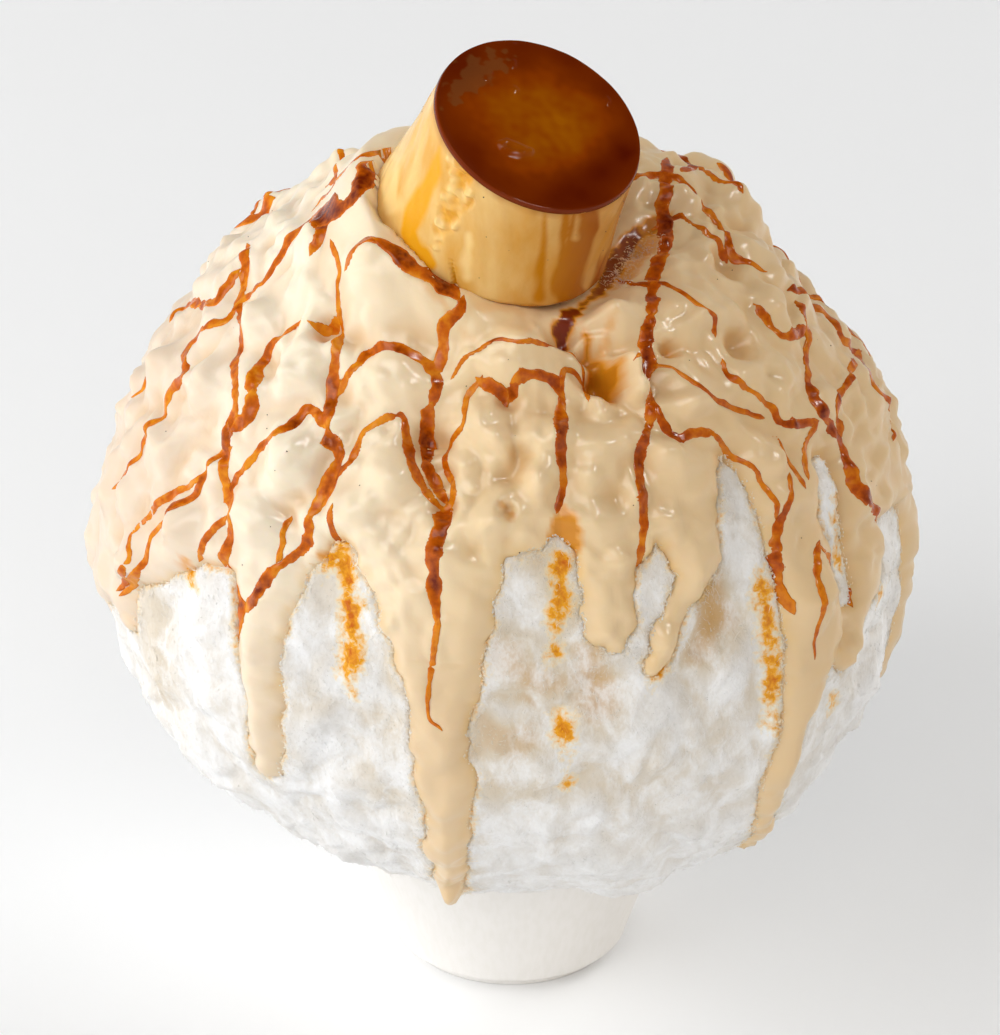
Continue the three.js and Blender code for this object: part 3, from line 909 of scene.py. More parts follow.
# The coat thins from this polar angle down, over this many degrees, and is calmer on drips.
thinning_from, thinning_over, calm_from, calm_share = 62, 12, 80, 0.6
bead_width, edge_dip = 6.5, 2.2
# Height, size and seed of its folds, small waves and lumps, and how places wander for them.
cream_folds = ((3.4, 24, 64), (3.0, 12, 65), (1.4, 6, 66))
cream_waves, cream_level = ((0.4, 3.0, 67),), -2.9
cream_wander = (16, (61, 62, 63), 4)
# Puffs (+) and hollows (-) of the front: picture point, then radius and height in millimetres.
lump_gain, lump_reach = 1.8, 0.85
front_lumps = (
    ((390, 282), 8.5, 3.4), ((376, 258), 6, 1.0), ((395, 384), 7.5, 2.8), ((312, 250), 6, 2.2),
    ((303, 290), 5.5, 1.2), ((306, 366), 7, 2.2), ((264, 326), 5, 1.4), ((208, 385), 7, 1.8),
    ((212, 330), 6, 1.2), ((163, 368), 6.5, 1.6), ((296, 462), 6.5, 2.2), ((392, 480), 8, 2.6),
    ((372, 452), 5, 0.8), ((256, 522), 6, 1.8), ((478, 426), 6, 1.8), ((515, 358), 9, 2.6),
    ((542, 440), 5.5, 1.8), ((598, 442), 7, 1.6), ((605, 520), 5.5, 1.6), ((575, 560), 4, 1.0),
    ((615, 318), 6.5, 2.2), ((690, 312), 7.5, 1.4), ((746, 378), 6, 1.0), ((694, 392), 6, 1.6),
    ((768, 306), 5.5, 2.2), ((700, 258), 6, 1.2), ((716, 176), 6, 2.2), ((682, 205), 5, 1.4),
    ((746, 214), 5, 1.6), ((836, 330), 5, 1.4), ((826, 400), 6, 1.2), ((784, 372), 5, 1.0),
    ((676, 470), 6.5, 1.6), ((764, 452), 5, 1.0), ((666, 530), 5, 1.2), ((862, 500), 5, 1.2),
    ((812, 600), 6, 1.4), ((160, 452), 6.5, 1.6), ((185, 524), 6, 1.2), ((128, 500), 6, 1.6),
    ((130, 560), 6, 1.8), ((215, 250), 6, 1.4), ((276, 205), 7, 1.8), ((238, 222), 5, 1.2),
    ((446, 560), 6, 1.2), ((462, 640), 5, 0.8), ((500, 520), 6, 1.2), ((350, 520), 6, 1.6),
    ((378, 205), 5, 1.6), ((340, 178), 5, 1.2), ((412, 232), 4, 1.4),
    ((326, 328), 3.2, -3.6), ((321, 312), 4, 1.2), ((432, 325), 6, -1.6), ((431, 440), 5, -2.8),
    ((440, 474), 4, -2.6), ((446, 506), 3, -2.0), ((508, 400), 2.6, -1.6), ((606, 384), 4.2, -5.6),
    ((590, 352), 3.4, -3.0), ((561, 329), 4.8, -5.6), ((622, 374), 3.6, 3.8), ((634, 393), 3.0, 3.2),
    ((600, 410), 3.4, 1.6), ((507, 510), 1.9, -1.6), ((498, 522), 1.8, 0.8), ((672, 347), 2.6, -2.2),
    ((742, 346), 5, -2.4), ((448, 292), 3.5, -1.6), ((578, 405), 3, -0.8), ((514, 474), 4, -1.2),
    ((618, 268), 4, -2.0), ((636, 246), 4.5, -2.2), ((650, 228), 3.5, -1.4), ((617, 379), 3.4, 2.6),
    ((724, 262), 4.5, -2.0), ((470, 520), 4.5, 1.2), ((540, 480), 4, 1.2), ((620, 560), 4, 1.2),
    ((350, 330), 4.5, -1.4), ((294, 505), 4, -1.2), ((180, 400), 4, -1.2), ((630, 440), 4, 1.4),
    ((453, 896), 3.4, 3.9), ((748, 838), 5.5, 1.5), ((500, 440), 3.4, 1.2), ((466, 462), 3.4, 1.2),
    ((522, 452), 3.0, -1.2), ((590, 480), 3.4, 1.2), ((574, 520), 3.0, 1.0), ((615, 500), 3.4, -1.0),
)
lump_towards = on_heap([point for point, _, _ in front_lumps], 4.0)
# The bank of cream round the pudding: its width, its level at the pudding's edge and how uneven
# that is, and where it is higher or lower, by direction and spread in degrees and by height.
bank_width, bank_level, bank_uneven = 4.5, 0.4, ((0.7, 6, 68),)
bank_sides = ((-72, 42, 4.2), (62, 48, -2.4))
facing_base = Vector(pudding_base["facing"]).normalized()
base_turn = np.array(Vector((0, 0, 1)).rotation_difference(facing_base).to_matrix())


def bank(towards, thickness):
    """Cream banked up round the pudding. Near the base's edge the surface is drawn to the
    height of the edge, higher on the left where the pudding sinks in, lower on the right."""
    outline = heap_radius(towards)
    place = (heap_middle + towards * (outline + thickness)[..., None] - pudding_base["centre"]) @ base_turn
    reach = np.hypot(place[..., 0], place[..., 1])
    side = np.degrees(np.arctan2(place[..., 0], -place[..., 1]))
    beside = reach - pudding_base["radius"]
    pull = np.where(beside > 0, np.exp(-0.5 * (beside / bank_width) ** 2), 1)
    level = bank_level + uneven(towards * typical_radius, bank_uneven)
    for middle, width, height in bank_sides:
        level = level + height * np.exp(-0.5 * ((side - middle) / width) ** 2)
    level = np.where(beside > 0, level, np.minimum(level, 1.0) - 0.3 * np.maximum(-beside, 0))
    rise = np.clip(thickness + (level - place[..., 2]) / (towards @ np.array(facing_base)), -3, 12)
    return thickness + pull * (rise - thickness)


def cream_rise(towards):
    """Height of the cream over the smooth outline of the ice. Inside its edge it rises along
    a mix of an arc and a sine to its full thickness, and past the edge it dips below the ice."""
    place = towards * typical_radius
    _, polar = angles_of(towards)
    depth = cream_depth(towards)
    warped = wandered(place, *cream_wander)
    waves = puffed(warped, cream_folds) + uneven(warped, cream_waves) + cream_level
    waves = waves + 3.0 * np.maximum(noise(place, 7.5, 69), 0) ** 1.5
    thinned = np.exp(-np.maximum(polar - thinning_from, 0) / thinning_over)
    full = drip_thickness + (cream_thickness - drip_thickness) * thinned
    full = full + waves * np.where(polar < calm_from, 1, calm_share)
    for lump, (_, radius, height) in zip(lump_towards, front_lumps):
        away = np.linalg.norm(towards - lump, axis=-1) * typical_radius
        full = full + lump_gain * height * np.exp(-(away / (lump_reach * radius)) ** 3)
    full = np.maximum(bank(towards, full), np.where(polar < 50, -3.0, thinnest_cream))
    inside = np.clip(depth / bead_width, 0, 1)
    rise = full * (0.45 * np.sqrt(1 - (1 - inside) ** 2) + 0.55 * np.sin(inside * math.pi / 2))
    return np.where(depth > 0, rise, np.maximum(-edge_dip, 0.9 * depth))


coat_polars = fine_polars(coat_rows, coat_fine_from, coat_fine_to, coat_fine_share)
coat_towards = heading(front_weighted(coat_columns, coat_front_pull)[None], coat_polars[:, None])
coat_reach = heap_radius(coat_towards) + cream_rise(coat_towards)
coat_points, coat_faces = skin(heap_middle + coat_towards * coat_reach[..., None])
cream_coat = add_piece("cream_coat", coat_points, coat_faces)

# Places where sauce mixed into the cream: share of sauce, then picture points and half widths.
tinted_places = (
    (0.14, ((470, 316), 1.2), ((500, 309), 1.8), ((522, 316), 1.2)),
    (0.14, ((462, 336), 0.8), ((474, 346), 0.9)),
    (0.3, ((606, 330), 1.2), ((603, 352), 1.6)), (0.5, ((669, 345), 1.0), ((673, 350), 1.2)),
    (0.22, ((418, 288), 1.4), ((440, 306), 1.8), ((452, 322), 1.2)),
    (0.5, ((824, 470), 1.4), ((832, 505), 2.0), ((828, 530), 1.4)),
    (0.66, ((560, 508), 0.9), ((564, 522), 2.7), ((566, 540), 3.5), ((563, 556), 3.0)),
    (0.6, ((320, 558), 1.2), ((334, 548), 1.4)),
    (0.5, ((180, 572), 1.4), ((186, 562), 1.6)), (0.4, ((504, 505), 0.9), ((512, 516), 0.8)),
    (1.0, ((584, 302), 1.4), ((571, 312), 2.4), ((563, 327), 2.8), ((567, 342), 1.4)),
    (0.72, ((584, 334), 0.8), ((591, 356), 1.8), ((599, 376), 3.2), ((606, 393), 2.8)),
    # Partly sauce, partly the pudding's shadow painted in along its right base.
    (0.9, ((578, 304), 1.2), ((598, 288), 1.6), ((616, 262), 2.0), ((628, 242), 1.6)),
    (0.95, ((634, 236), 2.2), ((624, 250), 3.0), ((612, 268), 2.6), ((604, 284), 1.6)),
    (0.75, ((638, 233), 2.6), ((654, 227), 2.2), ((668, 222), 1.2)), (0.45, *crater_stain),
)
coat_place = coat_towards * typical_radius
ragged_by = uneven(coat_place, ((0.9, 3, 81), (0.7, 1.6, 82))) + 0.3
tinted = np.max([share * np.clip((band_depth(coat_towards, *band(marks)) + ragged_by) / 1.2, 0, 1)
                 for share, *marks in tinted_places], axis=0)
soaked_band = np.clip(1 - np.maximum(cream_depth(coat_towards) - 0.7, 0) / 2.0, 0, 1)
soaked_band *= np.clip(0.35 + uneven(coat_place, ((0.9, 5, 83), (0.6, 1.8, 84))), 0, 1)
paint(cream_coat, "tint", over_skin(tinted))
paint(cream_coat, "edge", over_skin(soaked_band))
# Rounds of evening out that give the level around a place, and the drop that counts as deep.
hollow_passes, hollow_span = 60, 2.4
coat_level = coat_reach - heap_radius(coat_towards)
around = coat_level
for _ in range(hollow_passes):
    around = (np.roll(around, 1, 1) + np.roll(around, -1, 1) + 2 * around) / 4
    around = (np.roll(around, 1, 0) + np.roll(around, -1, 0) + 2 * around) / 4
# How low each place lies among its neighbours, which sets painted shade in the hollows and painted light on
# the rises.
paint(cream_coat, "hollow", over_skin(0.5 + 0.5 * np.clip((around - coat_level) / hollow_span, -1, 1)))

cream_far_left = colour(234, 214, 191)
cream_lit_left = colour(251, 236, 212)
cream_middle = colour(241, 214, 170)
cream_shaded_right = colour(227, 196, 150)
cream_hollow_shade = colour(214, 168, 108)
cream_rise_light = colour(250, 230, 194)
cream_soaked = colour(238, 196, 116)
cream_low_shade = colour(214, 181, 138)
cream_amber = colour(226, 150, 28)
cream_brown = colour(126, 42, 1)
cream, cream_shader = new_finish("custard_cream")
# Painted light and shade: the cream is painted palest on the left where the light falls, a little dimmer at
# the far left, and darker tan towards the shaded right.
painted_light_and_shade = ramp(cream, along_axis(cream, "X", -80, 80), (
    (0.0, cream_far_left), (0.2, cream_lit_left), (0.45, cream_middle), (0.9, cream_shaded_right)))
# Painted shade: low on the front drips, from the far left to the middle, the cream is painted darker the
# lower it lies.
between = product(cream, along_axis(cream, "X", 2, 24, 1.0, 0.0), along_axis(cream, "X", -62, -48))
painted_shade_on_drips = product(cream, along_axis(cream, "Z", 140, 108, 0.0, 0.55), between)
plain_cream = blended(cream, painted_shade_on_drips, painted_light_and_shade, cream_low_shade)
# Painted shade and light: deeper tan is painted into the hollows and a paler tone onto the rises.
painted_hollow_shade = product(cream, spread(cream, painted(cream, "hollow"), 0.5, 0.95), 0.6)
painted_rise_light = product(cream, spread(cream, painted(cream, "hollow"), 0.5, 0.1), 0.1)
cream_light_and_shade = blended(cream, painted_rise_light, blended(cream, painted_hollow_shade, plain_cream, cream_hollow_shade), cream_rise_light)
soaked_edge = blended(cream, product(cream, painted(cream, "edge"), 0.45), cream_light_and_shade, cream_soaked)
sauce_and_shadow_in_cream = ramp(cream, painted(cream, "tint"), ((0.6, cream_amber), (1.0, cream_brown)))
feed(cream, cream_shader, {
    "Base Color": blended(cream, product(cream, painted(cream, "tint"), 1.5), soaked_edge, sauce_and_shadow_in_cream),
    "Roughness": 0.28, "Specular IOR Level": 0.5,
    "Subsurface Weight": 0.25, "Subsurface Radius": (1.0, 0.6, 0.3), "Subsurface Scale": 1.6 * MM,
    "Normal": bumped(cream, grain(cream, 1.6, 3), 0.05)})
cream_coat.data.materials.append(cream)
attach(cream_coat, "root")
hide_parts("custard_cream")


# ---------------------------------------------------------------------------------------
# Caramel sauce: drizzled from a spoon in long criss-crossing lines, thin and amber where it
# ran fast, dark and thick where it pooled. It lies on the cream as flat, glossy ribbons.
sauce_step, sauce_sides, sauce_bury, sauce_overlap = 0.6, 9, 0.15, 0.9
sauce_underside, sauce_crown, crown_share = -1.4, 0.1, 0.03
# How thick a line looks: least at this half width, and most this much wider; and how mottled.
thin_half, thick_span, thin_look, sauce_mottle = 0.5, 2.6, 0.08, 0.42
# Each ribbon lies a little higher than the last, up to this many, so that none share a surface.
sauce_lift, sauce_lifts = 0.05, 3
groove_depth, groove_width, groove_batches = 0.4, 0.7, 40
sauce_seed, seeds_apart = 70, 4
# Lines on the front: half width in millimetres at the start and end, then picture points.
front_lines = (
    (0.7, 0.5, (361, 154), (343, 166), (335, 185), (321, 199), (314, 209)),
    (0.6, 0.9, (390, 156), (365, 162), (341, 178), (327, 187)),
    (1.6, 2.8, (376, 175), (355, 195), (335, 211), (314, 217)),
    (1.9, 1.0, (314, 217), (322, 228), (317, 240), (311, 251)),
    (1.5, 0.9, (314, 217), (300, 229), (287, 243), (276, 262), (261, 283), (243, 299), (233, 313)),
    (1.4, 0.8, (233, 313), (220, 322), (200, 334), (190, 344), (186, 352), (182, 375), (170, 391),
     (157, 420), (143, 442), (136, 458), (115, 487)),
    (1.3, 1.1, (247, 246), (245, 262), (245, 283), (237, 307), (241, 324), (241, 340), (235, 360),
     (235, 385), (235, 405), (227, 426)),
    (1.6, 1.0, (227, 426), (226, 450), (226, 486), (230, 509), (230, 536), (230, 569), (239, 596)),
    (1.3, 0.5, (239, 596), (241, 615), (237, 647), (239, 677), (242, 704), (246, 738), (253, 773)),
    (0.9, 1.5, (237, 271), (225, 287), (212, 303), (200, 304)),
    (1.5, 0.6, (200, 304), (190, 305), (180, 309), (172, 320)),
    (0.6, 1.5, (313, 325), (321, 331), (330, 331)),
    (1.4, 0.5, (330, 331), (337, 327), (339, 320)),
    (0.5, 1.7, (300, 322), (286, 332), (270, 348), (261, 364), (253, 393)),
    (1.9, 1.1, (253, 393), (247, 415), (232, 430)),
    (0.6, 0.8, (331, 242), (339, 266), (337, 287), (341, 321)),
    (1.0, 1.6, (341, 321), (336, 351), (334, 378), (331, 402), (327, 424)),
    (2.8, 1.2, (327, 430), (330, 438), (339, 453), (331, 474), (320, 500), (310, 515)),
    (1.4, 1.5, (310, 515), (306, 545), (285, 562), (269, 575), (255, 596), (246, 610)),
    (0.9, 0.6, (230, 448), (218, 456), (200, 477), (173, 495), (150, 516), (131, 534), (129, 555), (120, 571),
     (119, 589)),
    (1.0, 0.7, (205, 474), (193, 497), (170, 516), (154, 532), (147, 550), (136, 571), (122, 594)),
    (1.5, 0.9, (325, 426), (316, 412), (305, 410), (285, 428), (262, 445), (246, 465), (232, 486),
     (230, 509)),
    (0.9, 0.8, (225, 518), (207, 536), (200, 559)),
    (0.9, 0.8, (290, 520), (283, 543), (278, 559)),
    (0.9, 0.8, (394, 416), (377, 423), (361, 435), (351, 460), (338, 474), (324, 504)),
    (0.7, 1.0, (331, 507), (333, 532), (342, 548)),
    (0.9, 0.5, (151, 369), (145, 381), (135, 395)),
    (0.9, 1.5, (337, 394), (353, 368), (371, 353), (392, 346), (414, 355), (433, 370), (437, 386),
     (431, 406)),
    (1.8, 1.5, (431, 406), (427, 423), (428, 440), (426, 462)),
    (1.4, 0.7, (426, 462), (435, 482), (446, 502)),
    (1.2, 1.6, (463, 298), (459, 311), (443, 327), (443, 347), (437, 372)),
    (0.8, 1.2, (346, 265), (353, 250), (364, 241), (378, 241)),
    (1.2, 3.4, (376, 239), (390, 247), (404, 259), (420, 270), (436, 280), (450, 289), (457, 297)),
    (0.9, 0.7, (394, 416), (403, 417), (408, 443), (413, 466), (426, 492), (444, 511)),
    (0.8, 0.7, (449, 508), (453, 488), (445, 464), (451, 443), (463, 423), (467, 398), (480, 380)),
    (0.7, 2.6, (479, 380), (492, 387), (503, 396), (506, 404)),
    (2.4, 1.6, (505, 402), (511, 394), (517, 380)),
    (1.5, 1.5, (514, 380), (524, 374), (540, 374), (555, 382), (563, 396)),
    (0.8, 0.7, (561, 384), (565, 370), (574, 372), (582, 384)),
    (1.3, 1.2, (563, 394), (561, 423), (561, 453), (563, 484), (557, 510)),
    (2.1, 0.9, (448, 506), (442, 522), (435, 545), (433, 566), (435, 596), (438, 623)),
    (0.8, 0.4, (438, 623), (431, 670), (428, 714), (439, 728)),
    (0.5, 0.6, (453, 376), (463, 360), (480, 349), (498, 339), (524, 341), (561, 349), (582, 366),
     (588, 398)),
    (1.4, 1.4, (667, 159), (665, 178), (664, 200), (665, 224), (665, 246), (658, 265), (654, 283),
     (651, 315)),
    (1.4, 1.3, (651, 315), (645, 346), (650, 362), (645, 377), (650, 400), (651, 421)),
    (1.4, 0.7, (651, 421), (643, 445), (641, 482), (644, 524), (640, 558), (641, 580), (639, 608)),
    (1.2, 0.8, (635, 178), (654, 175), (678, 178), (692, 190), (706, 209), (720, 225)),
    (0.8, 0.6, (720, 225), (730, 249), (746, 261), (763, 271)),
    (0.8, 0.8, (655, 228), (668, 220), (683, 216), (702, 228), (720, 242), (730, 254)),
    (0.7, 0.7, (619, 281), (647, 284), (666, 284), (687, 296), (706, 308), (716, 320), (715, 334)),
    (0.5, 0.6, (636, 359), (645, 361), (654, 365), (671, 367), (692, 381), (711, 395),
     (730, 407), (762, 417)),
    (0.6, 1.2, (723, 362), (730, 377), (753, 391), (772, 407), (784, 424), (817, 421)),
    (0.7, 1.5, (756, 306), (768, 322), (787, 336), (805, 329)),
    (1.0, 1.5, (798, 303), (808, 332), (808, 374), (815, 400), (827, 421)),
    (1.4, 1.5, (827, 421), (841, 445), (853, 471), (864, 492), (876, 518)),
    (1.1, 0.6, (876, 518), (885, 552), (887, 572)),
    (0.9, 1.3, (853, 360), (846, 386), (838, 405), (841, 433)),
    (1.3, 1.0, (791, 289), (810, 306), (827, 315), (843, 339), (855, 353)),
    (1.0, 0.7, (855, 353), (874, 384), (888, 417), (895, 438)),
    (1.0, 0.8, (817, 424), (805, 447), (808, 476)),
    (0.6, 0.9, (772, 433), (787, 459), (805, 485)),
    (0.9, 1.3, (790, 476), (779, 524), (776, 552)),
    (1.5, 0.8, (776, 552), (770, 566), (782, 594), (793, 611)),
    (1.2, 1.6, (650, 400), (661, 419), (678, 438), (692, 433), (711, 432)),
    (0.6, 0.6, (711, 432), (749, 464), (772, 495), (777, 515)),
    (0.9, 0.5, (819, 544), (817, 575), (820, 622), (815, 656)),
    (0.6, 1.0, (821, 547), (841, 580), (850, 603)),
    (0.6, 0.6, (690, 162), (712, 175), (735, 198)),
)
# Lines round the back, which start between these polar angles and up to crown_reach higher
# behind the pudding, and arcs that cross them.
rear_lines, rear_from, rear_across, rear_top, rear_end = 13, 104, 150, (30, 44), (60, 80)
crown_reach, rear_knots = 22.0, 9
rear_arcs, arc_knots, arc_top, arc_apart = 4, 16, 27, 13
line_wander, arc_wander = 3.2, 2.0
sauce_random = np.random.default_rng(7)


def smooth_path(knots, spacing):
    """Points every so often along a smooth curve through the knots, as directions. Both ends
    run on a little, so that lines that meet flow together."""
    ends = np.stack([2 * knots[0] - knots[1], 2 * knots[-1] - knots[-2]])
    held = np.concatenate([ends[:1], knots, ends[1:]])
    share = np.linspace(0, 1, 24, endpoint=False)[:, None]
    pieces = [smooth_between(*held[k:k + 4], share) for k in range(len(knots) - 1)]
    dense = np.concatenate(pieces + [knots[-1:]])
    tails = unit(np.stack([dense[0] - dense[6], dense[-1] - dense[-7]])) * sauce_overlap / typical_radius
    dense = np.concatenate([dense[:1] + tails[:1], dense, dense[-1:] + tails[1:]])
    length = np.concatenate([[0], np.cumsum(np.linalg.norm(np.diff(dense, axis=0), axis=1))])
    count = max(int(length[-1] * typical_radius / spacing), 4)
    at = np.linspace(0, length[-1], count)
    return unit(np.stack([np.interp(at, length, dense[:, k]) for k in range(3)], -1))


def eased(values, steps):
    """Values along a path, evened out with a bell-shaped window of this many steps."""
    window = np.exp(-0.5 * (np.arange(-3 * steps, 3 * steps + 1) / steps) ** 2)
    held = np.pad(values, ((3 * steps, 3 * steps), (0, 0)), mode="edge")
    return np.stack([np.convolve(held[:, k], window / window.sum(), "valid") for k in range(3)], -1)


def faced(path):
    """Share of the wandering that a line keeps: less where it is seen nearly edge on."""
    return np.clip(1.6 * np.abs(path @ to_camera), 0.3, 1)


def line_halves(path, start_width, end_width, seed):
    """Half widths along a line of sauce: it swells and thins, and its ends are drawn out."""
    swelling = uneven(path * typical_radius, ((0.46, 8, seed), (0.26, 2.6, seed + 1)))
    half = np.linspace(start_width, end_width, len(path)) * (1 + swelling * faced(path))
    ends = np.minimum(np.arange(len(path)), np.arange(len(path))[::-1]) * sauce_step
    drawn_end = np.clip((ends + 0.15) / (0.8 + 1.6 * half), 0, 1)
    return half * np.sin(drawn_end * math.pi / 2)


def ribbon(path, start_width, end_width, seed, lift):
    """Skin of one line of sauce and how thick it is at each point. Its section is a flat lens
    lying in the cream, with its edges tucked in; both edges wander on their own."""
    place = path * typical_radius
    half = line_halves(path, start_width, end_width, seed)
    sideways = unit(np.cross(path, np.gradient(eased(path, 4), axis=0)))
    across = np.linspace(-1, 1, sauce_sides)
    ragged = ((0.30, 1.4, seed + 2), (0.34, 3.4, seed + 2))
    left, right = [half * (1 + faced(path) * uneven(place + shift, ragged)) for shift in (-9, 9)]
    reach = np.where(across < 0, left[:, None], right[:, None]) * across
    wide = np.concatenate([reach, reach[:, ::-4] * 0.7], axis=1)
    crown = np.minimum(crown_share * (1 + half), sauce_crown)[:, None]
    top = lift - sauce_bury + (crown + sauce_bury) * (1 - across**4)
    below = np.full((len(path), wide.shape[1] - sauce_sides), sauce_underside)
    towards = unit(path[:, None] + sideways[:, None] * wide[..., None] / typical_radius)
    surface = heap_radius(towards) + np.maximum(cream_rise(towards), -0.6)
    rings = heap_middle + towards * (surface + np.concatenate([top, below], axis=1))[..., None]
    film = np.concatenate([np.sqrt(1 - across**2) + 0 * half[:, None], below * 0], axis=1)
    thick = film * np.clip(thin_look + (half[:, None] - thin_half) / thick_span, 0, 1)
    thick = thick + sauce_mottle * noise(towards * typical_radius, 6, seed + 3) + 0.04
    return skin(rings), over_skin(thick)


def cream_surface(towards):
    """Distance from the heap's middle to the cream, or to the ice where it is bare."""
    return heap_radius(towards) + np.maximum(cream_rise(towards), 0)


lines = []
for start_width, end_width, *marks in front_lines:
    knots = on_heap(marks, outline=cream_surface)
    lines.append((smooth_path(knots, sauce_step), start_width, end_width))
for index in range(rear_lines):
    azimuth = rear_from + rear_across * (index + 0.5) / rear_lines + sauce_random.uniform(-4, 4)
    first = sauce_random.uniform(*rear_top) - crown_reach * math.exp(-((azimuth - 180) / 40) ** 2)
    line_polars = np.linspace(first, sauce_random.uniform(*rear_end), rear_knots)
    wander = np.cumsum(sauce_random.normal(0, line_wander, rear_knots))
    widths = sauce_random.uniform(0.7, 1.8), sauce_random.uniform(0.4, 0.8)
    lines.append((smooth_path(heading(azimuth + wander, line_polars), sauce_step), *widths))
for index in range(rear_arcs):
    azimuths = np.linspace(108 + 4 * index, 250 - 5 * index, arc_knots)
    wander = np.cumsum(sauce_random.normal(0, arc_wander, arc_knots)) + 5 * np.sin(azimuths / 17 + index)
    widths = sauce_random.uniform(0.7, 1.4, 2)
    arc_path = smooth_path(heading(azimuths, arc_top + arc_apart * index + wander), sauce_step)
    lines.append((arc_path, *widths))
seeded = [(path, *widths, sauce_seed + seeds_apart * k) for k, (path, *widths) in enumerate(lines)]
ribbons = [ribbon(*line, sauce_lift * (k % sauce_lifts)) for k, line in enumerate(seeded)]


def groove(towards):
    """How far the cream gives way under the sauce: a bell-shaped trough along every line, as
    deep as the line there, found from the nearest point of all the lines."""
    places = np.concatenate([path for path, *_ in seeded]).astype(np.float32)
    halves = np.concatenate([line_halves(*line) for line in seeded])
    depth = np.zeros(len(towards))
    for some in np.array_split(np.arange(len(towards)), groove_batches):
        likeness = towards[some].astype(np.float32) @ places.T
        nearest = likeness.argmax(1)
        away = np.sqrt(np.maximum(2 - 2 * likeness.max(1), 0)) * typical_radius
        depth[some] = groove_depth * np.exp(-((away / (groove_width * halves[nearest])) ** 4))
    return depth


flat_towards = unit(coat_points - heap_middle)
sunk_points = coat_points - flat_towards * groove(flat_towards)[:, None]
cream_coat.data.vertices.foreach_set("co", (sunk_points * MM).astype(np.float32).ravel())
cream_coat.data.update()
sauce_points, sauce_faces = joined([part for part, _ in ribbons])
caramel_sauce = add_piece("caramel_sauce", sauce_points, sauce_faces)
paint(caramel_sauce, "thick", np.concatenate([thick for _, thick in ribbons]))

# The shaded colours are painted shade: the sauce is painted lighter on the left and darker towards the right.
sauce_thin = colour(230, 144, 24)
sauce_mid = colour(204, 98, 3)
sauce_deep = colour(112, 34, 1)
shaded_thin = colour(214, 124, 16)
shaded_mid = colour(184, 82, 2)
shaded_deep = colour(100, 24, 1)
drizzle, drizzle_shader = new_finish("caramel_sauce")
clots = spread(drizzle, grain(drizzle, 1.7, 4), 0.3, 0.7, -0.2, 0.25)
clotted = total(drizzle, painted(drizzle, "thick"), clots)
left_sauce = ramp(drizzle, clotted, ((0.0, sauce_thin), (0.4, sauce_mid), (0.95, sauce_deep)))
right_sauce = ramp(drizzle, clotted, ((0.0, shaded_thin), (0.4, shaded_mid), (0.95, shaded_deep)))
feed(drizzle, drizzle_shader, {
    "Base Color": blended(drizzle, along_axis(drizzle, "X", -42, 16), left_sauce, right_sauce),
    "Roughness": 0.2, "IOR": 1.4, "Specular IOR Level": 0.4,
    "Normal": bumped(drizzle, grain(drizzle, 1.2, 2), 0.03)})
caramel_sauce.data.materials.append(drizzle)
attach(caramel_sauce, "root")


# ---------------------------------------------------------------------------------------
# Loose ice: slivers and crystals of frost that lie on the heap and cling to the cream's edge.
# A sliver is a thin bent lens and a crystal a low pyramid, clear white, or stained in sauce.
sliver_count, sliver_length, sliver_width = 8000, (0.8, 3.0), 0.08
grain_count, grain_size, grain_sunk = 40000, (0.15, 0.45), 0.08
# Shares of the loose ice in the brown crater and along the cream's edge, how far it scatters
# there, and where it lies: down to this polar angle, and from this height over the middle.
crater_share, crater_scatter, edge_share, edge_reach = 0.014, 1.7, 0.28, 1.3
scatter_to, scatter_from, scatter_spare = 147, 0.6, 5
# How much of the frost's stain, warmth and crater brown each kind takes.
sliver_shares, grain_shares = (0.8, 0.6, 0.6), (0.9, 0.8, 0.8)
sliver_random = np.random.default_rng(11)


def on_bare_ice(count):
    """Directions scattered evenly over the ice that the cream leaves bare, with more along the
    cream's edge and a share in the brown crater, and the distances of the surface there."""
    draws = count * scatter_spare
    azimuth = sliver_random.uniform(-180, 180, draws)
    lowest = math.cos(math.radians(scatter_to))
    polar = np.degrees(np.arccos(sliver_random.uniform(lowest, scatter_from, draws)))
    towards = heading(azimuth, polar)
    depth = cream_depth(towards)
    by_edge = towards[np.flatnonzero(np.abs(depth + 0.4) < edge_reach)[:int(count * edge_share)]]
    on_ice = towards[np.flatnonzero(depth < sliver_random.uniform(-0.6, 0.6, draws))[:count - len(by_edge)]]
    towards = np.concatenate([on_ice, by_edge])
    path, _ = crater_band
    crater_count = int(count * crater_share)
    along = sliver_random.uniform(0, len(path) - 1.001, crater_count)
    first = along.astype(int)
    inside = path[first] + (path[first + 1] - path[first]) * (along - first)[:, None]
    inside = inside + sliver_random.normal(0, crater_scatter / typical_radius, inside.shape)
    towards[:crater_count] = unit(inside)
    rise = np.maximum(ice_rise(towards), cream_rise(towards))
    return towards, heap_radius(towards) + rise


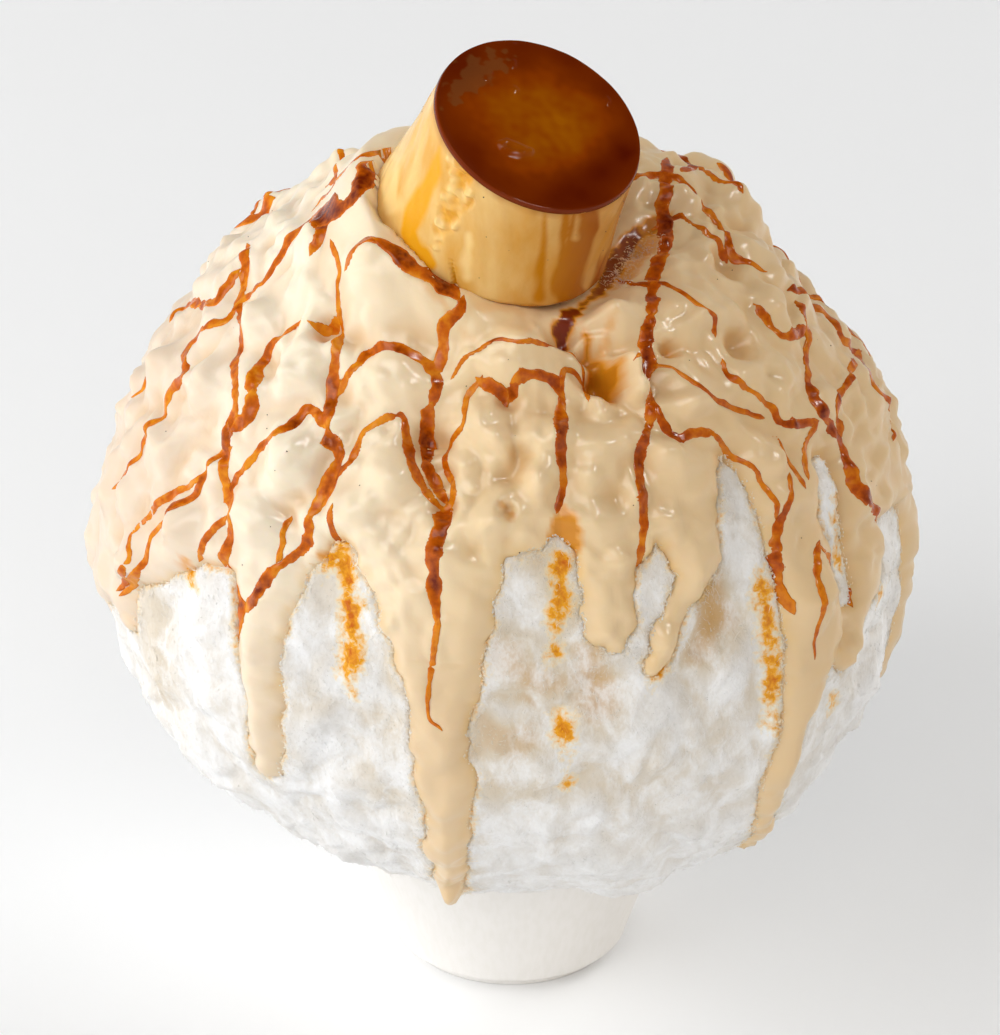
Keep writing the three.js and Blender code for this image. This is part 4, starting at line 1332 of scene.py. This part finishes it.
def slivers(count):
    """Bent lenses scattered over the bare ice. Each has two tips and a ring of four points
    round its middle, turned along the surface and tilted out of it by a random angle."""
    towards, surface = on_bare_ice(count)
    along = sliver_random.normal(0, 1, towards.shape) + np.array([0, 0, -0.8])
    along = unit(along - towards * np.sum(along * towards, -1, keepdims=True))
    tilt = sliver_random.uniform(-0.1, 0.3, len(towards))[:, None]
    lengthwise = along * np.cos(tilt) + towards * np.sin(tilt)
    sideways = np.cross(towards, along)
    upward = np.cross(lengthwise, sideways)
    length = sliver_random.uniform(*sliver_length, len(towards))[:, None]
    width = sliver_width + length * sliver_random.uniform(0.02, 0.04, len(towards))[:, None]
    bow = length * sliver_random.uniform(-0.3, 0.3, len(towards))[:, None] * sideways
    bend = length * sliver_random.uniform(0.0, 0.08, len(towards))[:, None]
    middle = heap_middle + towards * (surface + 0.02)[:, None] + lengthwise * length * 0.3
    thin = width * 0.35
    points = np.stack([
        middle - lengthwise * length / 2, middle + lengthwise * length / 2,
        middle + bow + sideways * width / 2 + upward * bend, middle + bow + upward * (bend + thin),
        middle + bow - sideways * width / 2 + upward * bend, middle + bow + upward * (bend - thin)], 1)
    ring = np.array([[2, 3], [3, 4], [4, 5], [5, 2]])
    faces = np.concatenate([np.insert(ring, 0, 0, axis=1)[:, ::-1], np.insert(ring, 0, 1, axis=1)])
    return *copies(points, faces), np.repeat(towards, points.shape[1], axis=0)


def grains(count):
    """Low three-sided crystals of random size, stretch and turn: a triangle sunk a little in
    the bare ice, and a tip above it near its middle."""
    towards, surface = on_bare_ice(count)
    along = unit(np.cross(towards, sliver_random.normal(0, 1, towards.shape)))
    sideways = np.cross(towards, along)
    size = sliver_random.uniform(*grain_size, len(towards))[:, None, None]
    stretch = sliver_random.uniform(1, 2.2, len(towards))[:, None, None]
    third = np.radians([0, 120, 240])[:, None]
    middle = (heap_middle + towards * surface[:, None])[:, None]
    base = middle + size * (stretch * np.cos(third) * along[:, None] + np.sin(third) * sideways[:, None])
    lean = sliver_random.uniform(-0.3, 0.3, len(towards))[:, None, None]
    tip = middle + size * (0.3 * towards[:, None] + lean * along[:, None])
    points = np.concatenate([base - grain_sunk * towards[:, None], tip], axis=1)
    faces = [[0, 1, 3], [1, 2, 3], [2, 0, 3], [0, 2, 1]]
    return *copies(points, faces), np.repeat(towards, points.shape[1], axis=0)


sliver_points, sliver_faces, sliver_towards = slivers(sliver_count)
loose_ice = add_piece("loose_ice", sliver_points, sliver_faces, smooth=False)
for (paint_name, share_of), share in zip(frost_paints, sliver_shares):
    paint(loose_ice, paint_name, share * share_of(sliver_towards))
loose, loose_shader = new_finish("loose_frost")
finish_ice(loose, loose_shader)
loose_ice.data.materials.append(loose)
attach(loose_ice, "root")

grain_points, grain_faces, grain_towards = grains(grain_count)
frost_grains = add_piece("frost_grains", grain_points, grain_faces, smooth=False)
for (paint_name, share_of), share in zip(frost_paints, grain_shares):
    paint(frost_grains, paint_name, share * share_of(grain_towards))
frost_grains.data.materials.append(loose)
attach(frost_grains, "root")


# ---------------------------------------------------------------------------------------
# Vanilla specks: seeds of the pod, fine dark grains that show in the cream and the pudding.
# Each seed is a small solid with eight faces, and a third of them lie on the pudding's side.
speck_count, speck_size, on_pudding, side_rows = 90, (0.10, 0.2), 30, (10, 140)
speck_dark, speck_light = colour(40, 24, 14), colour(74, 46, 26)
speck_random = np.random.default_rng(5)


def specks(count):
    """Grains scattered over the surface of the cream and the pudding's side."""
    azimuth = speck_random.uniform(-180, 180, count)
    polar = np.degrees(np.arccos(speck_random.uniform(0.3, 0.9, count)))
    towards = heading(azimuth, polar)
    place = heap_middle + towards * (heap_radius(towards) + cream_rise(towards))[:, None]
    rows = speck_random.integers(*side_rows, on_pudding)
    columns = speck_random.integers(0, pudding_columns, on_pudding)
    place[:on_pudding] = plain_body[rows, columns]
    size = speck_random.uniform(*speck_size, count)[:, None, None]
    tips = np.array([[1, 0, 0], [-1, 0, 0], [0, 1, 0], [0, -1, 0], [0, 0, 1], [0, 0, -1]])
    faces = [[0, 2, 4], [2, 1, 4], [1, 3, 4], [3, 0, 4], [2, 0, 5], [1, 2, 5], [3, 1, 5], [0, 3, 5]]
    return copies(place[:, None] + tips * size, faces)


vanilla_specks = add_piece("vanilla_specks", *specks(speck_count))
vanilla, vanilla_shader = new_finish("vanilla_seed")
feed(vanilla, vanilla_shader, {
    "Base Color": ramp(vanilla, grain(vanilla, 0.5), ((0.3, speck_dark), (0.7, speck_light))),
    "Roughness": 0.6})
vanilla_specks.data.materials.append(vanilla)
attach(vanilla_specks, "root")


# ---------------------------------------------------------------------------------------
# Stage: a wide sheet of pale paper as the floor, large soft lights all round with a big
# panel on the left, three panels that only make highlights, and an evenly lit room.
floor_size = 6000.0
floor_white, floor_shade = colour(251, 252, 253), colour(250, 251, 252)
floor_corners = np.array([[-1, -1, 0], [1, -1, 0], [1, 1, 0], [-1, 1, 0]]) * floor_size / 2
floor = add_piece("floor", floor_corners, [np.array([[0, 1, 2, 3]])])
paper, paper_shader = new_finish("floor_paper")
feed(paper, paper_shader, {
    "Base Color": ramp(paper, grain(paper, 300, 1), ((0.3, floor_white), (0.7, floor_shade))),
    "Roughness": 0.9, "Specular IOR Level": 0.1})
floor.data.materials.append(paper)


# Lights aim at this height in metres.
light_aim = 0.1


def add_light(name, kind, direction, distance, **settings):
    """Light that stands in a direction from the dessert and points back at it."""
    lamp = bpy.data.objects.new(name, bpy.data.lights.new(name, kind))
    for key, value in settings.items():
        setattr(lamp.data, key, value)
    place = Vector(direction).normalized() * distance
    lamp.location = place + Vector((0, 0, light_aim))
    lamp.rotation_euler = place.to_track_quat("Z", "Y").to_euler()
    bpy.context.scene.collection.objects.link(lamp)
    return lamp


# Large diffusers round the table: direction, strength and tint.
diffusers = (
    ((-0.7, -0.7, 0.2), 0.50, (1, 1, 1)), ((-0.55, -0.55, 0.65), 0.66, (1, 1, 1)),
    ((0, -0.75, 0.65), 0.59, (1, 0.98, 0.95)), ((1, -0.3, 0.2), 0.58, (1, 0.88, 0.74)),
    ((-0.65, 0.65, 0.4), 0.63, (1, 1, 1)), ((0.65, 0.65, 0.4), 1.10, (1, 1, 1)),
)
diffuser_width, diffuser_distance = math.radians(32), 2.0
for number, (direction, strength, light_colour) in enumerate(diffusers):
    diffuser = add_light(f"diffuser_{number}", "SUN", direction, diffuser_distance,
                         energy=strength, angle=diffuser_width, color=light_colour)
    diffuser.visible_glossy = False
# Panels: name, direction, strength in watts and size in metres. The first only lights
# surfaces, and the others only make highlights.
panels = (
    ("side_panel", (-1.0, 0.0, 0.34), 7.5, 1.15), ("side_sheen", (-1.0, 0.0, 0.34), 3.0, 1.15),
    ("glint", (0.5, -0.12, 0.86), 3.0, 0.10), ("satin", (-0.35, -0.45, 0.82), 6.5, 0.8),
)
panel_distance = 1.2
for name, direction, strength, size in panels:
    panel = add_light(name, "AREA", direction, panel_distance, energy=strength, size=size)
    panel.visible_glossy = name != "side_panel"
    panel.visible_diffuse = name == "side_panel"

# The room: surfaces are lit evenly by it, and reflections see a pale wall low down and a dark
# ceiling.
room_strength, wall_strength, ceiling_strength = 0.19, 0.4, 0.02
studio = bpy.data.worlds.new("studio")
bpy.context.scene.world = studio
studio.use_nodes = True
room = studio.node_tree.nodes["Background"]
feed(studio, room, {"Color": (1, 1, 1, 1), "Strength": room_strength})
looking = step(studio, "ShaderNodeTexCoord", {}).outputs["Generated"]
facing_up = step(studio, "ShaderNodeSeparateXYZ", {"Vector": looking}).outputs["Z"]
mirrored = step(studio, "ShaderNodeBackground", {
    "Strength": spread(studio, facing_up, 0.25, 0.75, wall_strength, ceiling_strength)})
in_mirror = step(studio, "ShaderNodeLightPath", {}).outputs["Is Glossy Ray"]
either = step(studio, "ShaderNodeMixShader", {0: in_mirror, 1: room.outputs[0], 2: mirrored.outputs[0]})
feed(studio, studio.node_tree.nodes["World Output"], {"Surface": either.outputs[0]})

bpy.context.scene.view_settings.view_transform = "Standard"
